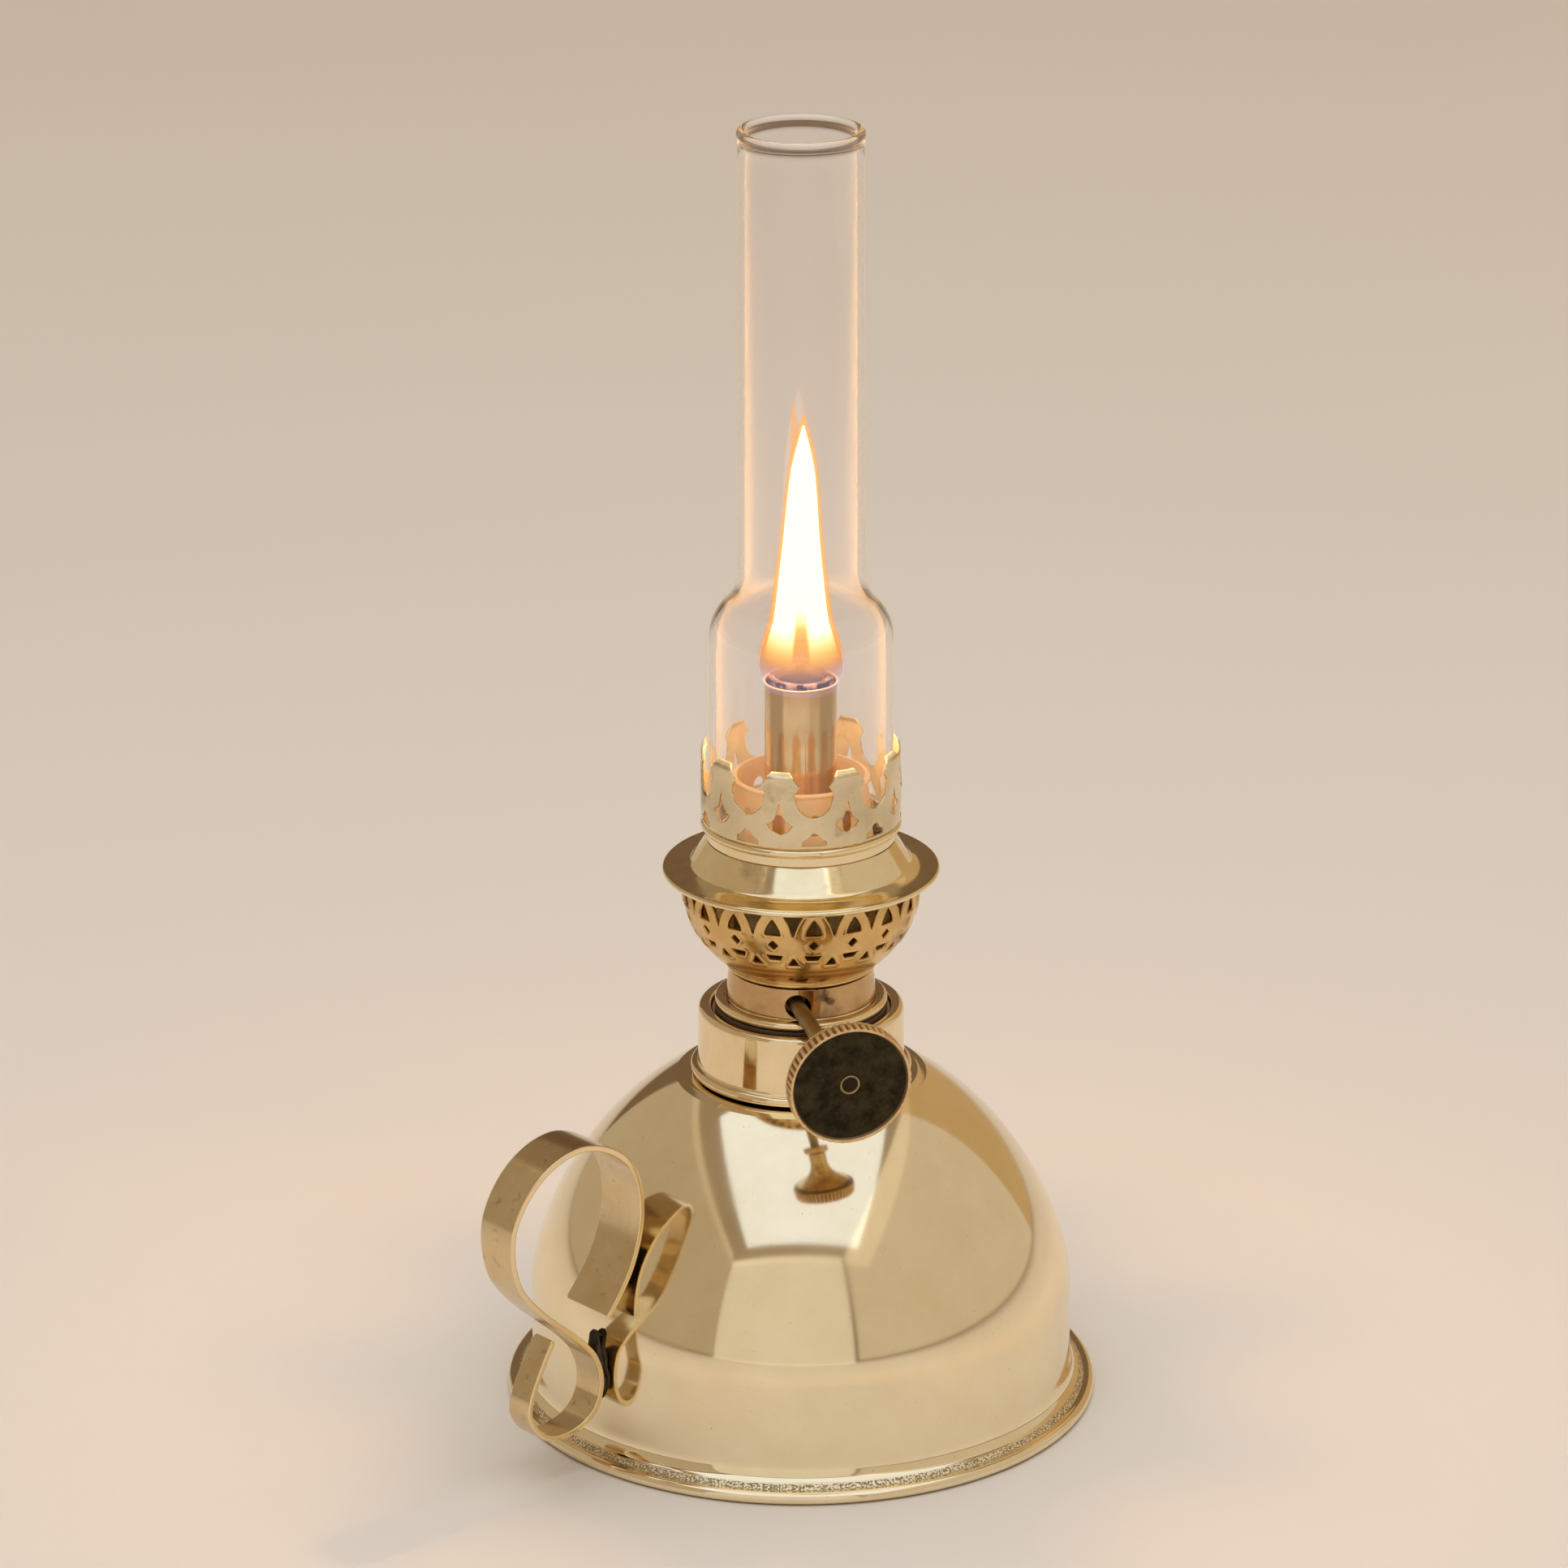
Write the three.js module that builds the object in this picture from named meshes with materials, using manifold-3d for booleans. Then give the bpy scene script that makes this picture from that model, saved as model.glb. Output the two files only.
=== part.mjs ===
import * as THREE from "three";
import { mergeVertices } from "three/addons/utils/BufferGeometryUtils.js";
import Module from "manifold-3d";

// A brass hand lamp for oil: a spun dome font with a finger handle, a screw-in burner with a round wick,
// a knurled winder knob and a glass chimney. Millimetres, +Z up, origin at the centre of the base's
// underside. An azimuth of 0 faces -Y, the front, and grows towards +X.

const wasm = await Module();
wasm.setup();

// ---- driving dimensions ----
const GAP = 0.3; // between pieces that meet face to face
const SHEET = 0.9; // spun and pressed brass

const FONT_RADIUS = 52.5;
const FONT_WALL_BASE = 7; // the upright wall stands between these two heights
const FONT_WALL_TOP = 22;
const DOME_HEIGHT = 50; // full height of the dome's curve above the wall
const DOME_POWER = [1.58, 2.02]; // exponents of the dome's superellipse
const SEAT_RADIUS = 22.6; // flat seat for the collar on top of the dome
const SEAT_Z = 65.6;
const FONT_MOUTH = 16;
const RIM = { centre: 56.2, radius: 1.2 }; // rolled rim of the foot
const BASE = { radius: 51.2, flange: 5.5, chamfer: 0.6 }; // plate that closes the font, turned up at its edge

const COLLAR = {
  foot: 20.3,
  bead: 1,
  top: 19.75,
  topZ: 79.6,
  ledge: 17,
  ledgeZ: 78.7,
  bore: 15,
  boreEnd: 63.4,
};
const GASKET = { bore: 14.8, outer: 16.6, bottom: 78.8, thickness: 0.8 };
const SCREW = { flange: 16.6, bottom: 79.7, top: 81.5, male: 14.3, bore: 13.3, end: 70.5 };
const NECK = { foot: 14.4, head: 13.9, bottom: 81.6, top: 87.4, wall: 0.8, port: 2.3 };

const BASKET = { bottom: 87.8, bore: 12.4, start: 14, rim: 22.8, curveBase: 88.6, curveTop: 104, top: 106.9 };
const BASKET_REPEATS = 18;
const BASKET_PHASE = 6.2; // azimuth of the first pierced triangle, in degrees

const BELL = { bottom: 88.9, radius: 12.9, straightTop: 101.5, top: 108.6, neck: 7.75, sheet: 0.6 };
const SIEVE = { z: 109.3, sheet: 0.6, inner: 8.2, outer: 19, holes: 12, holeRadius: 1.4, pitchRadius: 16.4 };
const DRAUGHT_RING = { foot: 14.2, bottom: 110.2, rim: 12.7, top: 126.5, bead: 0.35, sheet: 0.5 };
const DRAUGHT_SLOTS = { count: 12, phase: 11.2 };
const CONE = { lip: 26.5, lipZ: 107.3, foot: 21.05, footZ: 108.7, top: 18.1, topZ: 113.6, sheet: 0.7 };
const SEAT = { outer: 18.1, inner: 17.8, ledge: 15.6, bottom: 113.8, top: 115.5 };
const BEAD = { outer: 19.2, inner: 18.05, bottom: 115.6, top: 117.5 };
const CROWN = { outer: 19.15, inner: 18.6, bottom: 117.6, top: 132.7, prongs: 9, phase: -12.4 };

const WICK_TUBE = { outer: 6.85, inner: 6.45, bottom: 108, top: 145.4, flare: 7.2 };
const AIR_TUBE = { outer: 4.75, inner: 4.35, bottom: 109.4, top: 145 };
const DUCT = { width: 3, bottom: 111, top: 118, reach: 9.5, wall: 0.4 };
const WICK = {
  radius: 5.6,
  thickness: 1.3,
  width: 30.5,
  top: 146.4,
  bottom: 12,
  rows: 15, // a row then falls at each of the next two heights
  ringBottom: 101.6,
  shiftBottom: 92.6,
};
const WICK_LOW = { radius: 6, face: -1, flatRadius: 25, curlTop: 66, flatTop: 30 };

const GLASS = {
  bottom: 114.7,
  foot: 17.3,
  wide: 17.5,
  shoulder: 153.5,
  tubeBase: 167,
  tube: 12.05,
  top: 252,
  lip: 11.8,
  wall: 1.4,
};

const SHAFT = { azimuth: 16.4, droop: 4.2, port: [-0.5, -14.2, 84], radius: 1.5 };
const SHAFT_NEAREST = -13.5; // where along the shaft it passes closest to the lamp's axis
const KNOB = {
  radius: 11.8,
  face: 34.8,
  thickness: 3.3,
  recess: 10.9,
  recessDepth: 0.6,
  teeth: 56,
  toothDepth: 0.35,
};
const HUB = { length: 13, nose: 4.2, noseLength: 1.8, waist: 3, flare: 10, rim: 0.8 };
const STAR = { tip: 3.2, root: 2.1, teeth: 8, thickness: 1.2, spacing: 2.2 };
const GLAND = { radius: 2.15, front: -2.6 }; // it ends just inside the neck
const CAGE = { half: 4.8, sheet: 0.8, back: -4.6, front: 2.4, height: 3.9 };

const HANDLE_AZIMUTH = -47.6;
const HANDLE_SHEET = 1.2;
const HANDLE_WIDTH = [12.1, 5.1]; // at the inner end and at the end of the lower curl
const SOLDER = { stretch: [0.69, 0.78], half: 2.4 }; // share of the strip's length that is soldered

// ---- looks ----
const brass = (color, roughness) => new THREE.MeshStandardMaterial({ color, roughness, metalness: 1 });
const POLISHED = () => brass(0xd9c48a, 0.12);
const SATIN = () => brass(0xb59a55, 0.35);
const DULL = () => brass(0x7d6a3c, 0.45);
const SOLDERED = () => new THREE.MeshStandardMaterial({ color: 0x3a3630, roughness: 0.6, metalness: 0.6 });
const matt = (color, roughness) => new THREE.MeshStandardMaterial({ color, roughness, metalness: 0 });

// ---- helpers: shapes ----
const degrees = THREE.MathUtils.degToRad;
const V2 = (x, y) => new THREE.Vector2(x, y);
const V3 = (x, y, z) => new THREE.Vector3(x, y, z);

// Turns a closed profile of radius and height about Z; it runs anticlockwise, so that its faces point out.
function lathe(points, segments) {
  const closed = points[0].x < 1e-6 ? points : [...points, points[0]];
  return new THREE.LatheGeometry(closed, segments).rotateX(Math.PI / 2);
}

// Points of a profile from pairs of radius and height; a THREE.Curve among them adds its own points.
function profile(parts, divisions = 3) {
  return parts.flatMap((part) => (Array.isArray(part) ? [V2(...part)] : part.getPoints(divisions)));
}

const arc = (x, y, radius, from, to) =>
  new THREE.EllipseCurve(x, y, radius, radius, degrees(from), degrees(to), to < from);

const bend = (from, control, to) => new THREE.QuadraticBezierCurve(V2(...from), V2(...control), V2(...to));

function outline(points) {
  return new THREE.Shape(points.map(([x, y]) => V2(x, y)));
}

// A bar of the given outline between two heights of Z.
function prism(shape, low, high) {
  const options = { depth: high - low, bevelEnabled: false, curveSegments: 6 };
  return new THREE.ExtrudeGeometry(shape, options).translate(0, 0, low);
}

function rod(radius, low, high, segments = 20) {
  return lathe([V2(0, low), V2(radius, low), V2(radius, high), V2(0, high)], segments);
}

function ring(bore, radius, low, high, segments) {
  return lathe([V2(bore, low), V2(radius, low), V2(radius, high), V2(bore, high)], segments);
}

function block(x, y, z) {
  const size = [x[1] - x[0], y[1] - y[0], z[1] - z[0]];
  return new THREE.BoxGeometry(...size).translate((x[0] + x[1]) / 2, (y[0] + y[1]) / 2, (z[0] + z[1]) / 2);
}

// Moves each corner of a closed geometry to where the function puts it.
function warp(geometry, place) {
  const position = geometry.getAttribute("position");
  for (let i = 0; i < position.count; i += 1) {
    const p = place(position.getX(i), position.getY(i), position.getZ(i));
    position.setXYZ(i, p.x, p.y, p.z);
  }
  return geometry;
}

// Stands a shape drawn in X and Y up on the azimuth: X runs round the lamp, Y up and Z outwards.
function radially(geometry, azimuth, height = 0) {
  const a = degrees(azimuth);
  const frame = new THREE.Matrix4().makeBasis(
    V3(Math.cos(a), Math.sin(a), 0),
    V3(0, 0, 1),
    V3(Math.sin(a), -Math.cos(a), 0),
  );
  return geometry.applyMatrix4(frame.setPosition(0, 0, height));
}

// ---- helpers: joining and cutting ----
function solidOf(geometry) {
  const bare = geometry.clone();
  bare.deleteAttribute("normal");
  bare.deleteAttribute("uv");
  const merged = mergeVertices(bare, 1e-4);
  return new wasm.Manifold(
    new wasm.Mesh({
      numProp: 3,
      vertProperties: new Float32Array(merged.attributes.position.array),
      triVerts: new Uint32Array(merged.index.array),
    }),
  );
}

function geometryOf(solid) {
  const mesh = solid.getMesh();
  const geometry = new THREE.BufferGeometry();
  geometry.setAttribute("position", new THREE.BufferAttribute(mesh.vertProperties, 3));
  geometry.setIndex(new THREE.BufferAttribute(mesh.triVerts, 1));
  geometry.computeVertexNormals();
  return geometry;
}

function cut(geometry, tools) {
  return geometryOf(tools.reduce((rest, tool) => rest.subtract(solidOf(tool)), solidOf(geometry)));
}

function join(first, second) {
  return geometryOf(solidOf(first).add(solidOf(second)));
}

const lamp = new THREE.Group();

function add(name, geometry, material, parent = lamp) {
  const mesh = new THREE.Mesh(geometry, material);
  mesh.name = name;
  parent.add(mesh);
  return mesh;
}

// ---- font ----
// Radius of the dome at a height; the inner face is the same curve drawn in by the sheet.
function domeRadius(z, inset) {
  const rise = (z - FONT_WALL_TOP) / (DOME_HEIGHT - inset);
  return (FONT_RADIUS - inset) * (1 - rise ** DOME_POWER[0]) ** (1 / DOME_POWER[1]);
}

function domePoints(inset, topZ, steps) {
  const reach = topZ - FONT_WALL_TOP;
  return Array.from({ length: steps + 1 }, (_, i) => {
    const z = FONT_WALL_TOP + reach * Math.sin(((i / steps) * Math.PI) / 2);
    return V2(domeRadius(z, inset), z);
  });
}

function fontShell() {
  const inner = FONT_RADIUS - SHEET;
  const points = [
    ...arc(RIM.centre, RIM.radius, RIM.radius, -135, 110).getPoints(4),
    ...bend([55.3, 2.7], [FONT_RADIUS, 3], [FONT_RADIUS, FONT_WALL_BASE]).getPoints(2),
    ...domePoints(0, SEAT_Z - 0.5, 7),
    V2(SEAT_RADIUS, SEAT_Z),
    V2(FONT_MOUTH, SEAT_Z),
    V2(FONT_MOUTH, SEAT_Z - SHEET),
    V2(SEAT_RADIUS - 0.3, SEAT_Z - SHEET),
    ...domePoints(SHEET, SEAT_Z - SHEET - 0.5, 4).reverse(),
    ...bend([inner, FONT_WALL_BASE], [inner, 2.6], [54.7, 1.5]).getPoints(2),
  ];
  return lathe(points, 40);
}

function basePlate() {
  const { radius, flange, chamfer } = BASE;
  return lathe(
    profile([
      [0, 0],
      [radius - chamfer, 0],
      [radius, chamfer],
      [radius, flange],
      [radius - SHEET, flange],
      [radius - SHEET, SHEET],
      [0, SHEET],
    ]),
    40,
  );
}

// One pressing: a skirt over the dome's seat, a rounded top with a ledge, and the bore that takes the burner.
function collar() {
  const foot = SEAT_Z + GAP;
  const { bead, bore, boreEnd, ledge, ledgeZ, topZ } = COLLAR;
  return lathe(
    profile([
      [COLLAR.foot - 0.6, foot],
      arc(COLLAR.foot, foot + bead, bead, -90, 90),
      [COLLAR.top, topZ - 1],
      arc(COLLAR.top - 0.9, topZ - 0.9, 0.9, 10, 90),
      [ledge + 0.4, topZ - 0.35],
      [ledge, ledgeZ],
      [bore, ledgeZ],
      [bore, boreEnd],
      [bore + 0.7, boreEnd],
      [bore + 0.8, ledgeZ - 1],
      [COLLAR.top - 1.4, topZ - 1.5],
      [COLLAR.foot - 1.1, foot + 2],
    ]),
    30,
  );
}

// Centre line of the handle's strip in the upright plane of its azimuth: distance from the lamp's axis, and
// height. It drops from the free inner end, makes the finger loop, touches the wall and curls round below.
const HANDLE_LINE = new THREE.CatmullRomCurve3(
  [
    [54.6, 31.8],
    [48.9, 39.4],
    [45.6, 50.5],
    [48.2, 61],
    [58.7, 67.1],
    [69.2, 64.2],
    [76.1, 55],
    [74.8, 43],
    [66.3, 33.3],
    [56.4, 23.8],
    [54.3, 17.2],
    [55.9, 12],
    [60.6, 9.2],
    [67.5, 9.6],
    [71.6, 15.2],
    [69.5, 21.8],
    [65.3, 28.9],
  ].map(([r, z]) => V3(r, 0, z)),
  false,
  "centripetal",
);

function fingerHandle() {
  const length = HANDLE_LINE.getLength();
  const strip = new THREE.BoxGeometry(length, 1, HANDLE_SHEET, 56, 1, 1);
  warp(strip, (x, y, z) => {
    const t = THREE.MathUtils.clamp(x / length + 0.5, 0, 1);
    const point = HANDLE_LINE.getPointAt(t);
    const tangent = HANDLE_LINE.getTangentAt(t);
    const width = THREE.MathUtils.lerp(...HANDLE_WIDTH, t);
    return V3(y * width, point.z + z * tangent.x, point.x - z * tangent.z);
  });
  return radially(strip, HANDLE_AZIMUTH);
}

// Pad of solder between the font's wall and the back of the strip, where the two meet.
function handleSolder() {
  const [from, to] = SOLDER.stretch;
  const lift = HANDLE_SHEET / 2 + GAP / 2;
  const back = Array.from({ length: 7 }, (_, i) => {
    const t = THREE.MathUtils.lerp(from, to, i / 6);
    const point = HANDLE_LINE.getPointAt(t);
    const tangent = HANDLE_LINE.getTangentAt(t);
    return [point.x + lift * tangent.z, point.z - lift * tangent.x];
  });
  const wall = FONT_RADIUS + GAP / 2;
  const side = outline([...back, [wall, back[6][1] + 1], [wall, back[0][1] - 1]]);
  return radially(prism(side, -SOLDER.half, SOLDER.half).rotateY(-Math.PI / 2), HANDLE_AZIMUTH);
}

add("font_shell", fontShell(), POLISHED());
add("font_base_plate", basePlate(), SATIN());
add("font_collar", collar(), POLISHED());
add("finger_handle", fingerHandle(), SATIN());
add("handle_solder", handleSolder(), SOLDERED());

// ---- burner: from the screw up to the crown ----
function gasket() {
  const { bore, outer, bottom, thickness } = GASKET;
  return ring(bore, outer, bottom, bottom + thickness, 40);
}

function screwRing() {
  const { flange, bottom, top, male, bore, end } = SCREW;
  return lathe(
    profile([
      [bore, end],
      [male, end],
      [male, bottom],
      arc(flange - 0.9, (bottom + top) / 2, 0.9, -90, 90),
      [bore, top],
    ]),
    32,
  );
}

// Frame of the winder: Z along the shaft towards the knob, X level, origin where the shaft leaves the neck.
function winderFrame() {
  const a = degrees(SHAFT.azimuth);
  const d = degrees(SHAFT.droop);
  const along = V3(Math.sin(a) * Math.cos(d), -Math.cos(a) * Math.cos(d), -Math.sin(d));
  const level = V3(Math.cos(a), Math.sin(a), 0);
  const up = along.clone().cross(level);
  return new THREE.Matrix4().makeBasis(level, up, along).setPosition(...SHAFT.port);
}

function neck() {
  const { foot, head, bottom, top, wall, port } = NECK;
  const shell = lathe(
    profile([
      [foot - wall, bottom],
      [foot, bottom],
      [head, top],
      [head - wall, top],
    ]),
    40,
  );
  return cut(shell, [rod(port, -6, 6, 16).applyMatrix4(winderFrame())]);
}

// Radius of the basket's outer face at a height: steep at the foot, upright at the rim.
function basketRadius(z) {
  const t = Math.min(1, Math.max(0, (z - BASKET.curveBase) / (BASKET.curveTop - BASKET.curveBase)));
  return BASKET.start + (BASKET.rim - BASKET.start) * (1 - (1 - t) ** 2) ** 0.82;
}

function basketShell() {
  const heights = [88.9, 90.4, 93.4, 97.4, 101.2, BASKET.top];
  const outer = heights.map((z) => V2(basketRadius(z), z));
  const inner = heights.map((z) => V2(basketRadius(z) - 0.75, z + (z < 97 ? 0.35 : 0)));
  const foot = [V2(BASKET.bore, BASKET.bottom), V2(BASKET.start - 0.4, BASKET.bottom)];
  return lathe([...foot, ...outer, ...inner.reverse(), V2(BASKET.bore, BASKET.bottom + 0.7)], 36);
}

// One repeat of the basket's piercing: a triangle, the gap beside its arch and the slot in the foot.
const PIERCINGS = [
  { turn: 0, points: [[-1.5, 101.6], [1.5, 101.6], [0, 104.6]] },
  { turn: 0.5, points: [[0, 101.4], [1.5, 105.4], [-1.5, 105.4]] },
  { turn: 0, points: [[-0.9, 95.8], [0.9, 95.8], [1.5, 97], [-1.5, 97]] },
];

function airBasket() {
  const tools = [];
  for (let i = 0; i < BASKET_REPEATS; i += 1)
    for (const { turn, points } of PIERCINGS) {
      const azimuth = BASKET_PHASE + ((i + turn) * 360) / BASKET_REPEATS;
      tools.push(radially(prism(outline(points), 17, 25), azimuth));
    }
  return cut(basketShell(), tools);
}

// Oil-tight bell over the neck that leads the wick up into its tube.
function throatBell() {
  const { bottom, radius, straightTop, top, neck: mouth, sheet } = BELL;
  const dome = (inset) => {
    const width = radius - mouth + sheet - inset;
    const height = top - straightTop - inset;
    const nearlyTop = Math.PI / 2 - 0.12;
    return new THREE.EllipseCurve(mouth - sheet, straightTop, width, height, 0, nearlyTop).getPoints(4);
  };
  return lathe(
    [
      V2(radius - sheet, bottom),
      V2(radius, bottom),
      ...dome(0),
      V2(mouth, top),
      V2(mouth - sheet, top),
      V2(mouth - sheet, top - 1),
      ...dome(sheet).reverse(),
    ],
    28,
  );
}

function sieve() {
  const plate = ring(SIEVE.inner, SIEVE.outer, SIEVE.z, SIEVE.z + SIEVE.sheet, 32);
  const holes = Array.from({ length: SIEVE.holes }, (_, i) => {
    const a = (i / SIEVE.holes) * 2 * Math.PI;
    const drill = rod(SIEVE.holeRadius, SIEVE.z - 1, SIEVE.z + 2, 6);
    return drill.translate(SIEVE.pitchRadius * Math.cos(a), SIEVE.pitchRadius * Math.sin(a), 0);
  });
  return cut(plate, holes);
}

// Slotted ring inside the crown that turns the air onto the flame: slightly conical, with a rolled top edge.
const DRAUGHT_SLOT = [
  [-0.6, 118.2],
  [0.6, 118.2],
  [1.2, 119.2],
  [1.2, 121.3],
  [0.6, 122.3],
  [-0.6, 122.3],
  [-1.2, 121.3],
  [-1.2, 119.2],
];

function draughtRing() {
  const { foot, bottom, rim, top, bead, sheet } = DRAUGHT_RING;
  const shell = lathe(
    profile([
      [foot - sheet, bottom],
      [foot, bottom],
      [rim, top - 0.9],
      [rim + bead, top - 0.6],
      [rim + bead, top - 0.2],
      [rim, top],
      [rim - sheet, top],
    ]),
    36,
  );
  const slots = Array.from({ length: DRAUGHT_SLOTS.count }, (_, i) => {
    const azimuth = DRAUGHT_SLOTS.phase + (i * 360) / DRAUGHT_SLOTS.count;
    return radially(prism(outline(DRAUGHT_SLOT), 11, 16), azimuth);
  });
  return cut(shell, slots);
}

function draughtCone() {
  const { lip, lipZ, foot, footZ, top, topZ, sheet } = CONE;
  return lathe(
    profile([
      arc(lip - 0.45, lipZ, 0.45, -100, 80),
      [foot + 1.4, footZ - 0.35],
      [foot, footZ],
      [top, topZ],
      [top - sheet, topZ],
      [foot - sheet, footZ - 0.6],
      [foot + 1.3, footZ - 0.35 - sheet],
    ]),
    30,
  );
}

// Ledge on which the chimney stands, with the low wall that centres it.
function gallerySeat() {
  const { outer, inner, ledge, bottom, top } = SEAT;
  const ledgeTop = bottom + 0.6;
  return lathe(
    profile([
      [ledge, bottom],
      [outer, bottom],
      [outer, top],
      [inner, top],
      [inner, ledgeTop],
      [ledge, ledgeTop],
    ]),
    36,
  );
}

function galleryBead() {
  const { outer, inner, bottom, top } = BEAD;
  const middle = (bottom + top) / 2;
  const quarter = Math.PI / 2;
  const bulge = new THREE.EllipseCurve(inner, middle, outer - inner, top - middle, -quarter, quarter);
  return lathe(bulge.getPoints(4), 36);
}

// Outline between two prongs, from the pointed wings of their heads down to the cup between their wide stems.
// X runs round the crown.
const PRONG_GAP = [
  [0, 123.9],
  [1.1, 124.2],
  [2.2, 125],
  [3, 125.9],
  [3.3, 127.2],
  [3.65, 128.6],
  [2.75, 129.9],
  [3.5, 131],
  [4.9, 133.5],
];
const PRONG_KITE = [
  [0, 120.6],
  [1.4, 121.4],
  [2.4, 122.5],
  [0.9, 123.8],
  [0, 126.6],
  [-0.9, 123.8],
  [-2.4, 122.5],
  [-1.4, 121.4],
];
const CROWN_ARCH = [
  [-2.3, 118.2],
  [2.3, 118.2],
  [1.9, 119.4],
  [0, 120.7],
  [-1.9, 119.4],
];

function galleryCrown() {
  const band = ring(CROWN.inner, CROWN.outer, CROWN.bottom, CROWN.top, 36);
  const mirrored = PRONG_GAP.slice(1).reverse().map(([x, z]) => [-x, z]);
  const tools = [];
  for (let i = 0; i < CROWN.prongs; i += 1) {
    const prong = CROWN.phase + (i * 360) / CROWN.prongs;
    const between = prong + 180 / CROWN.prongs;
    tools.push(radially(prism(outline([...PRONG_GAP, ...mirrored]), 17, 21), between));
    tools.push(radially(prism(outline(PRONG_KITE), 17, 21), prong));
    tools.push(radially(prism(outline(CROWN_ARCH), 17, 21), between));
  }
  return cut(band, tools);
}

// ---- wick tubes: the round wick rises between an outer tube and an inner air tube ----
// The wick's seam, the inner tube's air duct and the slot for it face the winder's level direction.
const SEAM_AZIMUTH = SHAFT.azimuth + 90;

function wickTube() {
  const { outer, inner, bottom, top, flare } = WICK_TUBE;
  const tube = lathe(
    profile([
      [inner, bottom],
      [outer, bottom],
      [outer, top - 2.5],
      [flare, top - 0.3],
      [flare - 0.2, top],
      [inner, top - 0.4],
    ]),
    32,
  );
  const half = DUCT.width / 2 + GAP;
  const slot = block([-half, half], [bottom - 1, DUCT.top + GAP], [3, 9]);
  return cut(tube, [radially(slot, SEAM_AZIMUTH)]);
}

function airTube() {
  const { outer, inner, bottom, top } = AIR_TUBE;
  const floor = bottom + 0.6;
  const cup = lathe(
    profile([
      [0, bottom],
      [outer, bottom],
      [outer, top],
      [inner, top],
      [inner, floor],
      [0, floor],
    ]),
    32,
  );
  const { wall, reach } = DUCT;
  const half = DUCT.width / 2;
  const box = block([-half, half], [DUCT.bottom, DUCT.top], [4.5, reach]);
  const innerHalf = half - wall;
  const channel = block([-innerHalf, innerHalf], [DUCT.bottom + wall, DUCT.top - wall], [2, reach + 1]);
  return cut(join(cup, radially(box, SEAM_AZIMUTH)), [radially(channel, SEAM_AZIMUTH)]);
}

// The woven band is rolled to an open ring in the tubes, steps aside past the star wheels and opens out in
// the oil. Face is the level position of its middle, on the star wheels' side.
function wickBand() {
  const height = WICK.top - WICK.bottom;
  const band = new THREE.BoxGeometry(WICK.width, WICK.thickness, height, 16, 1, WICK.rows);
  const ringFace = -WICK.radius - WICK.thickness / 2;
  const { smoothstep, lerp } = THREE.MathUtils;
  warp(band, (across, through, up) => {
    const z = up + (WICK.top + WICK.bottom) / 2;
    const ring = smoothstep(z, WICK.shiftBottom, WICK.ringBottom);
    const curl = smoothstep(z, WICK_LOW.flatTop, WICK_LOW.curlTop);
    const lowRadius = 1 / lerp(1 / WICK_LOW.flatRadius, 1 / WICK_LOW.radius, curl);
    const radius = lerp(lowRadius, WICK.radius, ring);
    const centre = lerp(WICK_LOW.face, ringFace, ring) + WICK.thickness / 2 + radius;
    const angle = across / radius;
    const r = radius + through;
    return V3(r * Math.sin(angle), z, centre - r * Math.cos(angle));
  });
  return radially(band, SEAM_AZIMUTH);
}

add("collar_gasket", gasket(), matt(0x3b2a1c, 0.9));
add("screw_ring", screwRing(), POLISHED());
add("burner_neck", neck(), POLISHED());
add("air_basket", airBasket(), SATIN());
add("throat_bell", throatBell(), DULL());
add("air_sieve", sieve(), DULL());
add("draught_ring", draughtRing(), SATIN());
add("draught_cone", draughtCone(), POLISHED());
add("gallery_seat", gallerySeat(), POLISHED());
add("gallery_bead", galleryBead(), POLISHED());
add("gallery_crown", galleryCrown(), POLISHED());
add("wick_tube", wickTube(), SATIN());
add("air_tube", airTube(), DULL());
add("wick", wickBand(), matt(0xd8cdb4, 0.95));

// ---- winder: shaft, star wheels and knob, with the cage and gland that carry them ----
const winder = new THREE.Group();
winderFrame().decompose(winder.position, winder.quaternion, winder.scale);
lamp.add(winder);

function knobDisc() {
  const steps = KNOB.teeth * 2;
  const edge = Array.from({ length: steps }, (_, i) => {
    const r = KNOB.radius - (i % 2 ? KNOB.toothDepth : 0);
    const a = (i / steps) * 2 * Math.PI;
    return [r * Math.cos(a), r * Math.sin(a)];
  });
  const back = KNOB.face - KNOB.thickness;
  const recess = rod(KNOB.recess, KNOB.face - KNOB.recessDepth, KNOB.face + 1, 30);
  const bore = rod(SHAFT.radius + 0.15, back - 1, KNOB.face + 1, 20);
  return cut(prism(outline(edge), back, KNOB.face), [recess, bore]);
}

// Boss that backs the knob: a short collar at its nose, then a waist that flares like a trumpet's bell.
function knobHub() {
  const { length, nose, noseLength, waist, flare, rim } = HUB;
  const front = KNOB.face - KNOB.thickness - 0.05;
  const back = front - length;
  const bore = SHAFT.radius + 0.15;
  return lathe(
    profile([
      [bore, back],
      [nose - 0.6, back],
      [nose, back + 0.6],
      [nose, back + noseLength],
      [waist, back + noseLength + 0.8],
      bend([waist, front - 7.5], [waist + 0.4, front - 2.6], [flare, front - rim]),
      [flare, front],
      [bore, front],
    ]),
    24,
  );
}

function starWheel(z) {
  const steps = STAR.teeth * 2;
  const points = Array.from({ length: steps }, (_, i) => {
    const r = i % 2 ? STAR.root : STAR.tip;
    const a = (i / steps) * 2 * Math.PI;
    return [r * Math.cos(a), r * Math.sin(a)];
  });
  const bore = rod(SHAFT.radius + 0.12, z - 2, z + 2, 16);
  return cut(prism(outline(points), z - STAR.thickness / 2, z + STAR.thickness / 2), [bore]);
}

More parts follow.
